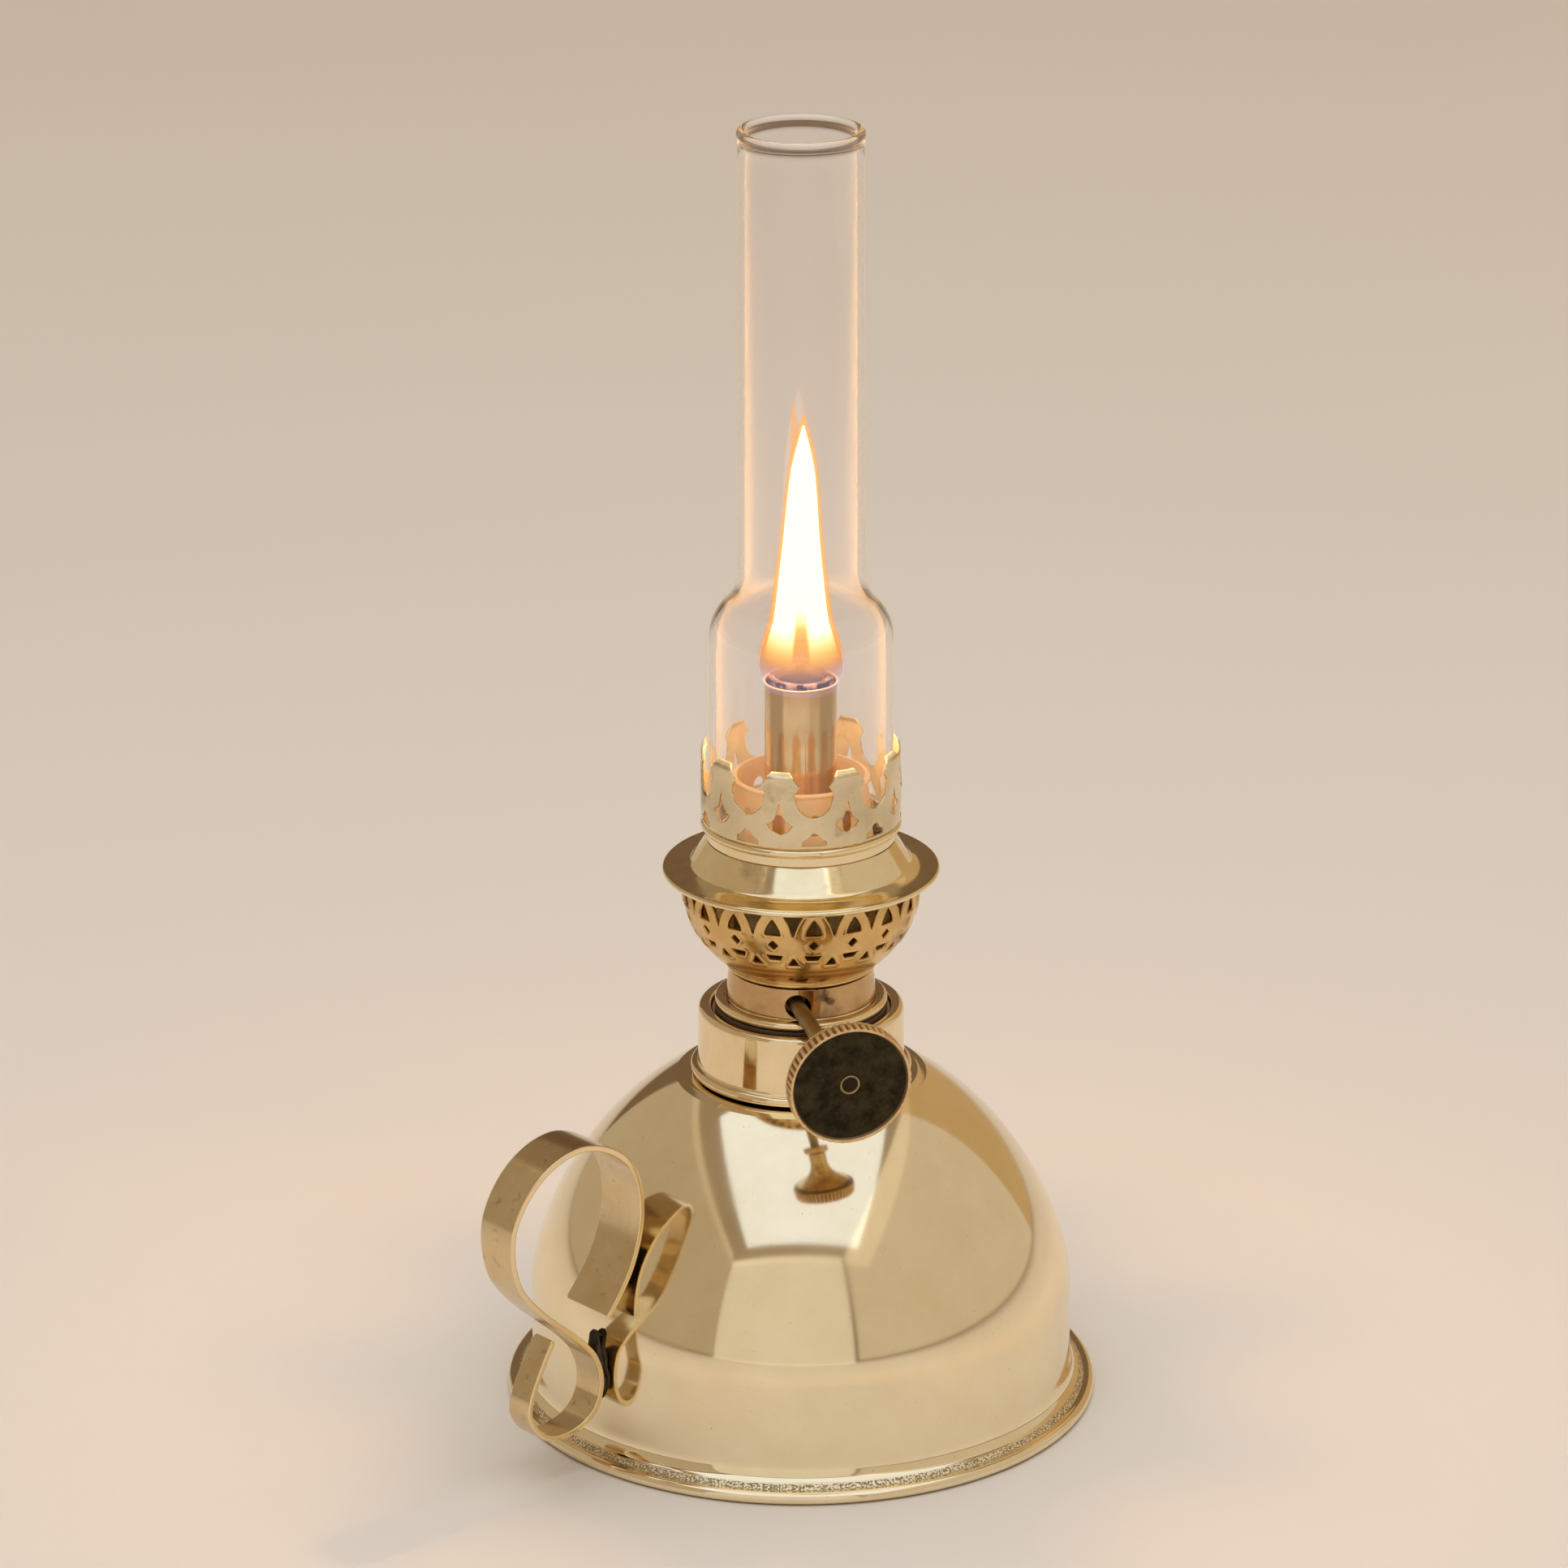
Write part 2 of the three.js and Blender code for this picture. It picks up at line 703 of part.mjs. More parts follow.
// Channel of sheet round the star wheels, open towards the wick, with a bore for the shaft in each cheek.
function wheelCage() {
  const { half, sheet, back, front, height } = CAGE;
  const middle = SHAFT_NEAREST;
  const body = block([back, front], [-height, height], [middle - half, middle + half]);
  const cheeks = [middle - half + sheet, middle + half - sheet];
  const inside = block([back + sheet, front + 1], [-height - 1, height + 1], cheeks);
  return cut(body, [inside, rod(SHAFT.radius + 0.15, middle - half - 1, middle + half + 1, 16)]);
}

function shaftGland() {
  return ring(SHAFT.radius + 0.15, GLAND.radius, SHAFT_NEAREST + CAGE.half + GAP, GLAND.front, 20);
}

add("wheel_cage", wheelCage(), DULL(), winder);
add("shaft_gland", shaftGland(), DULL(), winder);
add("winder_shaft", rod(SHAFT.radius, SHAFT_NEAREST - CAGE.half - 0.8, KNOB.face + 0.1, 16), SATIN(), winder);
add("star_wheel_front", starWheel(SHAFT_NEAREST + STAR.spacing), DULL(), winder);
add("star_wheel_rear", starWheel(SHAFT_NEAREST - STAR.spacing), DULL(), winder);
add("knob_disc", knobDisc(), brass(0x4a3c22, 0.4), winder);
add("knob_hub", knobHub(), DULL(), winder);

// ---- chimney ----
function chimney() {
  const { bottom, foot, wide, shoulder, tubeBase, tube, top, lip, wall } = GLASS;
  const middle = [(wide + tube) / 2, (shoulder + tubeBase) / 2];
  const outer = [
    V2(foot, bottom),
    V2(wide, bottom + 1),
    ...bend([wide, shoulder], [wide, shoulder + 4], middle).getPoints(3),
    ...bend(middle, [tube, tubeBase - 4], [tube, tubeBase]).getPoints(3).slice(1),
    V2(lip, top - 1.5),
    ...arc(lip - wall / 2, top - 0.8, 0.8, 0, 180).getPoints(2),
  ];
  const inner = outer.slice(1, -5).reverse().map((p) => V2(p.x - wall, p.y));
  return lathe([...outer, ...inner, V2(foot - wall, bottom)], 30);
}

const glass = new THREE.MeshStandardMaterial({ color: 0xf2f4f2, roughness: 0.03, metalness: 0 });
glass.transparent = true;
glass.opacity = 0.3;
add("glass_chimney", chimney(), glass);

export default lamp;
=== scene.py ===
import math

import bpy
import numpy as np
from mathutils import Matrix, Vector


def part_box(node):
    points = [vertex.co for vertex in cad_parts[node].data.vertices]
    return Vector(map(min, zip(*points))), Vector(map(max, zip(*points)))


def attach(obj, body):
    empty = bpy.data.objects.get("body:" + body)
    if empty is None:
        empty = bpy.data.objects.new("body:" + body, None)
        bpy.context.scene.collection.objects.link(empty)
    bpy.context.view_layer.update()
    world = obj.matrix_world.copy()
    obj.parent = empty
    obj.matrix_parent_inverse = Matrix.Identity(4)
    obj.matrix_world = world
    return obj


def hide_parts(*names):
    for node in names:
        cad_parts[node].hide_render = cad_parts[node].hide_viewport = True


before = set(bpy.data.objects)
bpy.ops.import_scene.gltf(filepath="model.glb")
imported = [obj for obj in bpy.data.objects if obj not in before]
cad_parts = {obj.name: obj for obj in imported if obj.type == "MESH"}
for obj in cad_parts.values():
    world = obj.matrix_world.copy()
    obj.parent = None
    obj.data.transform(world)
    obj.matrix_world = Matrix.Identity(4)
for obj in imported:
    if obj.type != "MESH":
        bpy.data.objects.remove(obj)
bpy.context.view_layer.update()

# The looks of a brass hand lamp for oil. Shapes are drawn in millimetres, and add_mesh() turns them into
# metres. An azimuth of 0 faces -Y, the front, and grows towards +X.
MM = 0.001
RANDOM = np.random.default_rng(11)


def reach(node):
    """Radius, lowest and highest point of a CAD node that is turned about the lamp's axis."""
    low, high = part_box(node)
    return max(high.x, high.y, -low.x, -low.y) / MM, low.z / MM, high.z / MM


# ---- outlines ----
def smoothstep(x, low, high):
    """Rises from 0 at low to 1 at high, for a number or an array."""
    t = np.clip((x - low) / (high - low), 0, 1)
    return t * t * (3 - 2 * t)


def arc(x, y, radius, start, end, steps=10):
    angles = np.radians(np.linspace(start, end, steps + 1))
    return [(x + radius * math.cos(a), y + radius * math.sin(a)) for a in angles]


def bend(start, control, end, steps=14):
    """Points of a quadratic curve, both ends included."""
    return [
        tuple((1 - t) ** 2 * np.array(start) + 2 * t * (1 - t) * np.array(control) + t * t * np.array(end))
        for t in np.linspace(0, 1, steps + 1)
    ]


def rounded(corners, steps=5, closed=True):
    """An outline whose corners given as (x, y, radius) are rounded."""
    points = []
    for i, corner in enumerate(corners):
        p = np.array(corner[:2], float)
        inner = closed or 0 < i < len(corners) - 1
        if len(corner) < 3 or not inner:
            points.append(tuple(p))
            continue
        before = np.array(corners[i - 1][:2], float) - p
        after = np.array(corners[(i + 1) % len(corners)][:2], float) - p
        lengths = np.linalg.norm(before), np.linalg.norm(after)
        before, after = before / lengths[0], after / lengths[1]
        half = 0.5 * math.acos(np.clip(before @ after, -1, 1))
        back = min(corner[2] / math.tan(half), 0.48 * min(lengths))
        points += bend(p + back * before, p, p + back * after, steps)
    return points


def spline(points):
    """A centripetal Catmull-Rom curve through points of two numbers.

    It has 24 points for each stretch between two of them and leaves out the last one.
    """
    p = [np.array(q, float) for q in points]
    p = [2 * p[0] - p[1], *p, 2 * p[-1] - p[-2]]
    dense = []
    for i in range(1, len(p) - 2):
        q = p[i - 1 : i + 3]
        knots = np.cumsum([0] + [math.sqrt(np.linalg.norm(q[k + 1] - q[k])) for k in range(3)])
        for t in np.linspace(knots[1], knots[2], 24, endpoint=False):
            level = q
            for span in (1, 2, 3):
                level = [
                    ((knots[k + span] - t) * level[k] + (t - knots[k]) * level[k + 1])
                    / (knots[k + span] - knots[k])
                    for k in range(4 - span)
                ]
            dense.append(level[0])
    return dense


def mirrored(half):
    """A whole outline from its right half, which starts and ends in the middle or runs along the foot."""
    return [*half, *[(-x, z) for x, z in half[::-1] if x > 0]]


def facing(azimuth):
    """Level unit vectors at an azimuth in degrees: away from the lamp's axis, and sideways to that."""
    turn = math.radians(azimuth)
    out = np.array([math.sin(turn), -math.cos(turn), 0])
    return out, np.array([math.cos(turn), math.sin(turn), 0])


# ---- meshes ----
def add_mesh(name, points, faces, material, crease=35, weighted=True):
    mesh = bpy.data.meshes.new(name)
    mesh.from_pydata((np.asarray(points, float) * MM).tolist(), [], faces)
    mesh.validate()
    mesh.polygons.foreach_set("use_smooth", [True] * len(mesh.polygons))
    mesh.set_sharp_from_angle(angle=math.radians(crease))
    mesh.materials.append(material)
    piece = bpy.data.objects.new(name, mesh)
    bpy.context.scene.collection.objects.link(piece)
    if weighted:
        bent = piece.modifiers.new("flat_faces_stay_flat", "WEIGHTED_NORMAL")
        bent.keep_sharp = True
    return piece


def turned(name, outline, material, segments=224, shift=None, **options):
    """A closed outline of (radius, height), anticlockwise, turned about the lamp's axis.

    shift(radius, height, azimuth) gives the radius anew; a point on the axis is a single vertex.
    """
    azimuth = np.linspace(0, 2 * math.pi, segments, endpoint=False)
    points, rings = [], []
    for r, z in outline:
        if r < 1e-6:
            rings.append([len(points)] * segments)
            points.append((0, 0, z))
            continue
        radius = np.full(segments, r) if shift is None else shift(r, z, azimuth)
        rings.append(list(range(len(points), len(points) + segments)))
        points += zip(radius * np.sin(azimuth), -radius * np.cos(azimuth), np.full(segments, z))
    faces = []
    for low, high in zip(rings, rings[1:] + rings[:1]):
        if low[0] == low[1] and high[0] == high[1]:
            continue
        for i in range(segments):
            j = (i + 1) % segments
            corners = [low[i], low[j], high[j], high[i]]
            faces.append(list(dict.fromkeys(corners)))
    return add_mesh(name, points, faces, material, **options)


def distance_to(outline, x, y):
    """Signed distance from points to a closed outline, below zero inside it."""
    outline = np.asarray(outline, float)
    nearest = np.full(x.shape, np.inf)
    inside = np.zeros(x.shape, bool)
    for (x0, y0), (x1, y1) in zip(outline, np.roll(outline, -1, axis=0)):
        dx, dy = x1 - x0, y1 - y0
        along = np.clip(((x - x0) * dx + (y - y0) * dy) / (dx * dx + dy * dy), 0, 1)
        nearest = np.minimum(nearest, np.hypot(x - x0 - along * dx, y - y0 - along * dy))
        crosses = (y0 > y) != (y1 > y)
        inside ^= crosses & (x < x0 + (y - y0) * dx / (dy if dy else 1))
    return np.where(inside, -nearest, nearest)


def repeated(azimuth, radius, count, phase):
    """Distance round the lamp from the middle of the nearest of count equal sectors."""
    sector = 2 * math.pi / count
    off = (azimuth - math.radians(phase) + sector / 2) % sector - sector / 2
    return radius * np.sin(off)


def repeated_holes(holes, count, phase, margin):
    """A field for pierced(): outlines, each with its turn in degrees, repeated count times round the lamp.

    phase turns them all, and margin widens each hole.
    """

    def field(azimuth, radius, height):
        nearest = np.full(azimuth.shape, 9.0)
        for outline, turn in holes:
            x = repeated(azimuth, radius, count, phase + turn)
            nearest = np.minimum(nearest, distance_to(outline, x, height) - margin)
        return nearest

    return field


def pierced(name, outer, inner, field, material, segments, edge=0.1, relief=None, crease=80):
    """A thin shell of revolution with holes.

    outer and inner are its faces as rows of (radius, height). field(azimuth, radius, height) is the distance
    to the nearest hole, above zero on metal. relief(distance) lifts the outer face near the holes.
    """
    outer, inner = np.array(outer, float), np.array(inner, float)
    rows = len(outer)
    azimuth = np.linspace(0, 2 * math.pi, segments, endpoint=False)
    grid = np.array([field(azimuth, np.full(segments, r), np.full(segments, z)) - edge for r, z in outer])
    places, index, faces = [], {}, []

    def vertex(key, row, column):
        if key not in index:
            index[key] = len(places)
            places.append((row, column))
        return index[key]

    for m in range(rows - 1):
        for n in range(segments):
            corners = [(m, n), (m, n + 1), (m + 1, n + 1), (m + 1, n)]
            values = [grid[a, b % segments] for a, b in corners]
            if max(values) <= 0:
                continue
            face = []
            for k in range(4):
                (a, b), (c, d) = corners[k], corners[(k + 1) % 4]
                here, there = values[k], values[(k + 1) % 4]
                if here > 0:
                    face.append(vertex((a, b % segments), a, b % segments))
                if (here > 0) != (there > 0):
                    share = here / (here - there)
                    ends = sorted([(a, b % segments), (c, d % segments)])
                    face.append(vertex(tuple(ends), a + share * (c - a), b + share * (d - b)))
            if len(face) > 2:
                faces.append(face)
    row, column = np.array(places).T
    turn = column * 2 * math.pi / segments
    base = np.clip(row.astype(int), 0, rows - 2)
    part = (row - base)[:, None]

    def along(side):
        return (1 - part) * side[base] + part * side[base + 1]

    front, back = along(outer), along(inner)
    slope = outer[base + 1] - outer[base]
    slope /= np.linalg.norm(slope, axis=1)[:, None]
    step = 0.02
    radius, height = front.T
    across = field(turn + step / radius, radius, height) - field(turn - step / radius, radius, height)
    up = field(turn, radius + step * slope[:, 0], height + step * slope[:, 1])
    up = up - field(turn, radius - step * slope[:, 0], height - step * slope[:, 1])
    length = np.maximum(np.hypot(across, up), 1e-9)
    sideways, upward = -across / length * edge, -up / length * edge
    rim = np.where(row <= 0, -1.0, np.where(row >= rows - 1, 1.0, 0.0))
    sideways = np.where(rim != 0, 0, sideways)
    upward = np.where(rim != 0, rim * edge, upward)
    middle = (front + back) / 2 + upward[:, None] * slope
    if relief is not None:
        outward = np.stack([slope[:, 1], -slope[:, 0]], 1)
        front = front + relief(field(turn, radius, height))[:, None] * outward

    def in_space(profile, angle):
        return np.stack([profile[:, 0] * np.sin(angle), -profile[:, 0] * np.cos(angle), profile[:, 1]], 1)

    count = len(places)
    points = np.concatenate(
        [in_space(front, turn), in_space(back, turn), in_space(middle, turn + sideways / radius)]
    )
    shell = [*faces, *([i + count for i in reversed(face)] for face in faces)]
    sides = {(face[k], face[(k + 1) % len(face)]) for face in faces for k in range(len(face))}
    for i, j in sorted(sides):
        if (j, i) not in sides:
            shell.append([j, i, i + 2 * count, j + 2 * count])
            shell.append([j + 2 * count, i + 2 * count, i + count, j + count])
    used = np.zeros(len(points), bool)
    used[[i for face in shell for i in face]] = True
    number = np.cumsum(used) - 1
    shell = [[int(number[i]) for i in face] for face in shell]
    return add_mesh(name, points[used], shell, material, crease=crease, weighted=False)


def swept(name, frames, sections, material, **options):
    """A bar through frames of (place, side, up), with a closed outline of (side, up) at each."""
    points = [
        place + s * side + u * up for (place, side, up), section in zip(frames, sections) for s, u in section
    ]
    size = len(sections[0])
    faces = [list(range(size))[::-1], list(range((len(frames) - 1) * size, len(frames) * size))]
    for ring in range(len(frames) - 1):
        for k in range(size):
            a, b = ring * size + k, ring * size + (k + 1) % size
            faces.append([a, b, b + size, a + size])
    return add_mesh(name, points, faces, material, **options)


# ---- materials ----
class Shade:
    """Short ways to build one material's nodes."""

    def __init__(self, name):
        self.material = bpy.data.materials.new(name)
        self.material.use_nodes = True
        self.tree = self.material.node_tree
        self.shader = self.tree.nodes["Principled BSDF"]
        self.output = self.tree.nodes["Material Output"]
        self.place = self.node("ShaderNodeTexCoord").outputs["Object"]

    def node(self, kind, **settings):
        made = self.tree.nodes.new(kind)
        for key, value in settings.items():
            setattr(made, key, value)
        return made

    def link(self, source, target):
        self.tree.links.new(source, target)

    def value(self, target, source):
        if isinstance(source, bpy.types.NodeSocket):
            self.link(source, target)
        else:
            target.default_value = source

    def math(self, operation, a, b=0.0, clamp=False):
        made = self.node("ShaderNodeMath", operation=operation, use_clamp=clamp)
        self.value(made.inputs[0], a)
        self.value(made.inputs[1], b)
        return made.outputs[0]

    def times(self, a, b):
        return self.math("MULTIPLY", a, b)

    def plus(self, a, b, clamp=False):
        return self.math("ADD", a, b, clamp)

    def scaled(self, x, y, z):
        made = self.node("ShaderNodeMapping")
        made.inputs["Scale"].default_value = (x, y, z)
        self.link(self.place, made.inputs["Vector"])
        return made.outputs["Vector"]

    def noise(self, scale, detail=3.0, vector=None, rough=0.5):
        made = self.node("ShaderNodeTexNoise")
        made.inputs["Scale"].default_value = scale
        made.inputs["Detail"].default_value = detail
        made.inputs["Roughness"].default_value = rough
        self.link(self.place if vector is None else vector, made.inputs["Vector"])
        return made.outputs["Fac"]

    def ramp(self, factor, *stops):
        made = self.node("ShaderNodeValToRGB")
        elements = made.color_ramp.elements
        while len(elements) < len(stops):
            elements.new(0.5)
        for element, (position, colour) in zip(elements, stops):
            element.position = position
            element.color = (*colour, 1)
        self.link(factor, made.inputs[0])
        return made.outputs[0]

    def between(self, factor, low, high, start=0.0, end=1.0):
        made = self.node("ShaderNodeMapRange")
        names = ("Value", "From Min", "From Max", "To Min", "To Max")
        for key, given in zip(names, (factor, low, high, start, end)):
            self.value(made.inputs[key], given)
        return made.outputs[0]

    def mix(self, factor, a, b):
        made = self.node("ShaderNodeMix", data_type="RGBA")
        self.value(made.inputs["Factor"], factor)
        for socket, given in ((made.inputs[6], a), (made.inputs[7], b)):
            self.value(socket, (*given, 1) if isinstance(given, tuple) else given)
        return made.outputs[2]

    def patch(self, point, size):
        """A ragged patch about a point, which is 1 in its middle; point and size are in millimetres."""
        away = self.node("ShaderNodeVectorMath", operation="DISTANCE")
        self.link(self.place, away.inputs[0])
        away.inputs[1].default_value = [c * MM for c in point]
        edge = self.math("SUBTRACT", self.noise(380, 5, rough=0.65), 0.5)
        ragged = self.times(edge, size * 3.5 * MM)
        return self.between(self.plus(away.outputs["Value"], ragged), size * MM, size * 0.45 * MM)

    def radius_and_height(self):
        parts = self.node("ShaderNodeSeparateXYZ")
        self.link(self.place, parts.inputs[0])
        squares = [self.times(parts.outputs[k], parts.outputs[k]) for k in (0, 1)]
        return self.math("SQRT", self.plus(*squares)), parts.outputs[2]

    def bump(self, height, strength, depth):
        made = self.node("ShaderNodeBump")
        made.inputs["Strength"].default_value = strength
        made.inputs["Distance"].default_value = depth
        self.link(height, made.inputs["Height"])
        self.link(made.outputs[0], self.shader.inputs["Normal"])

    def surface(self, factor, under, over):
        """Makes a mix of two shader nodes the material's surface."""
        made = self.node("ShaderNodeMixShader")
        for socket, source in zip(made.inputs, (factor, under.outputs[0], over.outputs[0])):
            self.link(source, socket)
        self.link(made.outputs[0], self.output.inputs["Surface"])

    def finish(self, **values):
        for key, given in values.items():
            socket = self.shader.inputs[key.replace("_", " ")]
            self.value(socket, (*given, 1) if isinstance(given, tuple) and len(given) == 3 else given)
        return self.material


def turned_brass(
    name, clean, worn, gloss, stain=0.0, seat_dirt=None, matt_inside=None, glow=0, spots=()
):
    """Brass that was spun and polished on a lathe: faint rings, smears, specks and a little tarnish.

    gloss is the lowest and highest roughness, and seat_dirt the radii and height of a band of polishing dirt.
    Within the radius matt_inside the surface is matt and carries painted flame light: an emission of strength
    glow that stands for the flame's light falling on it. Each of spots is a dark patch: its point and size.
    """
    s = Shade(name)
    radius, height = s.radius_and_height()
    turning = s.node("ShaderNodeCombineXYZ")
    s.link(radius, turning.inputs[0])
    s.link(height, turning.inputs[2])
    lathe_marks = s.noise(1900, 2, turning.outputs[0])
    rings = 0.25
    smears = s.noise(34, 4)
    patches = s.noise(95, 5, rough=0.6)
    specks = s.noise(1500, 2)
    colour = s.mix(s.between(patches, 0.35, 0.75), clean, worn)
    dark = s.times(s.between(s.noise(60, 6, rough=0.65), 0.56, 0.74), stain)
    dark = s.plus(dark, s.times(s.between(specks, 0.72, 0.78), 0.35), clamp=True)
    rough = s.between(s.plus(smears, s.times(lathe_marks, rings)), 0.3, 1.0, *gloss)
    if seat_dirt is not None:
        inner, outer, top = seat_dirt
        rising, falling = s.between(radius, inner, inner + 2e-4), s.between(radius, outer, outer - 2e-4)
        band = s.times(rising, falling)
        band = s.times(band, s.between(height, top, top - 3e-4))
        pits = s.times(band, s.between(s.noise(2600, 1), 0.44, 0.56))
        dark = s.plus(dark, s.times(pits, 0.7), clamp=True)
        rough = s.plus(rough, s.times(band, 0.3))
    colour = s.mix(dark, colour, (0.16, 0.10, 0.045))
    for spot in spots:
        dark_patch = s.times(s.patch(*spot), 0.7)
        colour = s.mix(dark_patch, colour, (0.06, 0.045, 0.035))
        rough = s.plus(rough, s.times(dark_patch, 0.35))
    rough = s.plus(rough, s.times(dark, 0.35))
    metallic, painted_flame_glow = 1.0, 0.0
    if matt_inside is not None:
        inside = s.between(radius, matt_inside * MM, (matt_inside - 0.2) * MM)
        rough = s.plus(rough, s.times(inside, 0.4))
        metallic = s.between(inside, 0, 1, 1.0, 0.35)
        # Painted flame light: inside matt_inside the brass emits warm light that stands for the flame's light
        # on it.
        painted_flame_glow = s.times(s.times(inside, glow), s.between(patches, 0.3, 0.8, 1.2, 0.6))
    s.bump(s.plus(s.times(lathe_marks, rings), s.noise(420, 3)), 0.06, 2e-5)
    s.finish(Emission_Color=(1.0, 0.58, 0.22), Emission_Strength=painted_flame_glow)
    return s.finish(Base_Color=colour, Metallic=metallic, Roughness=rough)


def dull_metal(name, light, dark, gloss, scale=600, depth=3e-5):
    """Unpolished metal with a grain, mottled by age."""
    s = Shade(name)
    lines = s.noise(scale, 4)
    mottle = s.noise(150, 6, rough=0.65)
    colour = s.mix(s.between(mottle, 0.32, 0.68), light, dark)
    colour = s.mix(s.times(s.between(lines, 0.45, 0.7), 0.35), colour, dark)
    rough = s.between(s.plus(mottle, s.times(lines, 0.5)), 0.4, 1.1, *gloss)
    s.bump(s.plus(lines, s.times(mottle, 0.6)), 0.25, depth)
    return s.finish(Base_Color=colour, Metallic=1.0, Roughness=rough)


polished = turned_brass("polished_brass", (0.92, 0.79, 0.52), (0.86, 0.70, 0.42), (0.03, 0.11))
font_brass = turned_brass(
    "polished_font_brass",
    (0.92, 0.81, 0.57),
    (0.87, 0.74, 0.49),
    (0.05, 0.13),
    seat_dirt=(0.0541, 0.0554, 0.0042),
)
collar_brass = turned_brass("collar_brass", (0.90, 0.76, 0.50), (0.80, 0.62, 0.36), (0.04, 0.14), stain=0.35)
golden = turned_brass("golden_brass", (0.80, 0.56, 0.24), (0.55, 0.33, 0.11), (0.10, 0.26), stain=0.7)
# The neck is darker and browner than the other brass: partly tarnish, partly painted reflection of dark
# surroundings.
neck_brass = turned_brass(
    "neck_brass",
    (0.66, 0.43, 0.21),
    (0.46, 0.27, 0.11),
    (0.07, 0.20),
    stain=0.85,
    spots=(((4.2, -13.7, 86.0), 1.5), ((5.6, -13.2, 84.8), 1.2), ((3.0, -14.0, 87.6), 0.8)),
)


# ---- font: dome, base plate and collar ----
FONT_RADIUS = 52.5
SHEET = 0.9
WALL_BASE, WALL_TOP = 7.0, 22.0
DOME_HEIGHT = 50.0
DOME_POWER = (1.58, 2.02)


def dome_radius(z, inset=0.0):
    rise = (z - WALL_TOP) / (DOME_HEIGHT - inset)
    return (FONT_RADIUS - inset) * (1 - rise ** DOME_POWER[0]) ** (1 / DOME_POWER[1])


def dome(inset, top, steps):
    heights = WALL_TOP + (top - WALL_TOP) * np.sin(np.linspace(0, math.pi / 2, steps + 1))
    return [(dome_radius(z, inset), z) for z in heights]


def font():
    rim_radius, _, seat_z = reach("font_shell")
    curl = 1.2
    mouth, seat = 16.0, 22.6
    inner = FONT_RADIUS - SHEET
    outline = [
        *arc(rim_radius - curl, curl, curl, -135, 112, 18),
        *bend((55.45, 2.35), (55.1, 2.25), (54.7, 2.75), 5),
        *bend((54.3, 3.15), (FONT_RADIUS, 3.7), (FONT_RADIUS, WALL_BASE), 12),
        *[(FONT_RADIUS, z) for z in np.linspace(8, 21, 10)],
        *dome(0, seat_z - 0.5, 90),
        *bend((seat + 0.35, seat_z - 0.25), (seat, seat_z), (seat - 0.6, seat_z), 4),
        (mouth, seat_z),
        (mouth, seat_z - SHEET),
        (seat - 0.3, seat_z - SHEET),
        *dome(SHEET, seat_z - SHEET - 0.5, 24)[::-1],
        *bend((inner, WALL_BASE), (inner, 2.6), (54.7, 1.5), 6),
    ]
    piece = turned("spun_font", outline, font_brass, segments=320)
    return piece, "font", "polished_brass", ["font_shell"]


def base_plate():
    radius, bottom, top = reach("font_base_plate")
    ring, depth = 34.0, 0.35
    step = bend((ring - 3, bottom + depth), (ring - 0.5, bottom + depth), (ring, bottom), 6)
    underside = [(0, bottom + depth), *step]
    outline = [
        *underside,
        *rounded([(radius - 4, bottom), (radius, bottom, 0.6), (radius, top, 0.1)], 6, False)[1:],
        (radius, top),
        (radius - SHEET, top),
        (radius - SHEET, bottom + SHEET),
        (ring, bottom + SHEET),
        (0, bottom + SHEET + depth),
    ]
    material = dull_metal("pressed_base_brass", (0.62, 0.48, 0.25), (0.40, 0.28, 0.12), (0.28, 0.5))
    return turned("pressed_base", outline, material), "font", "aged_brass", ["font_base_plate"]


def collar():
    _, bottom, top = reach("font_collar")
    foot_z = bottom + 2.5
    foot, side, bore, ledge, ledge_z = 20.3, 19.75, 15.0, 17.0, top - 0.9
    outline = [
        (foot - 0.8, foot_z),
        *arc(foot, foot_z + 1, 1.0, -90, 88, 14),
        *bend((foot - 0.1, foot_z + 2), (side + 0.12, foot_z + 2.1), (side + 0.1, foot_z + 2.7), 5),
        *[(side + 0.1 - 0.1 * t, foot_z + 2.7 + t * (top - foot_z - 4)) for t in np.linspace(0.1, 1, 8)],
        *arc(side - 1.15, top - 1.15, 1.15, 4, 90, 12),
        *bend((ledge + 0.7, top - 0.1), (ledge + 0.2, top - 0.2), (ledge, ledge_z), 5),
        (bore + 0.2, ledge_z),
        (bore, ledge_z - 0.2),
        (bore, bottom),
        (bore + 0.7, bottom),
        (bore + 0.8, ledge_z - 1),
        (side - 1.4, top - 1.6),
        (foot - 1.1, foot_z + 2),
    ]
    return turned("spun_collar", outline, collar_brass), "font", "polished_brass", ["font_collar"]


# ---- finger handle and its solder ----
HANDLE_AZIMUTH = -47.6
HANDLE_WIDTH = (12.1, 5.1)
HANDLE_SHEET = 1.2
HANDLE_LINE = (
    (54.6, 31.8), (48.9, 39.4), (45.6, 50.5), (48.2, 61.0), (58.7, 67.1), (69.2, 64.2), (76.1, 55.0),
    (74.8, 43.0), (66.3, 33.3), (56.4, 23.8), (54.3, 17.2), (55.9, 12.0), (60.6, 9.2), (67.5, 9.6),
    (71.6, 15.2), (69.5, 21.8), (65.3, 28.9),
)


def evenly(points, steps):
    """The same line, with steps + 1 points evenly spaced along it."""
    points = np.array(points)
    lengths = np.concatenate([[0], np.cumsum(np.linalg.norm(np.diff(points, axis=0), axis=1))])
    wanted = np.linspace(0, lengths[-1], steps + 1)
    return np.stack([np.interp(wanted, lengths, points[:, k]) for k in range(2)], 1)


def in_handle_plane(radius, height, sideways=0.0):
    out, side = facing(HANDLE_AZIMUTH)
    return radius * out + sideways * side + np.array([0, 0, height])


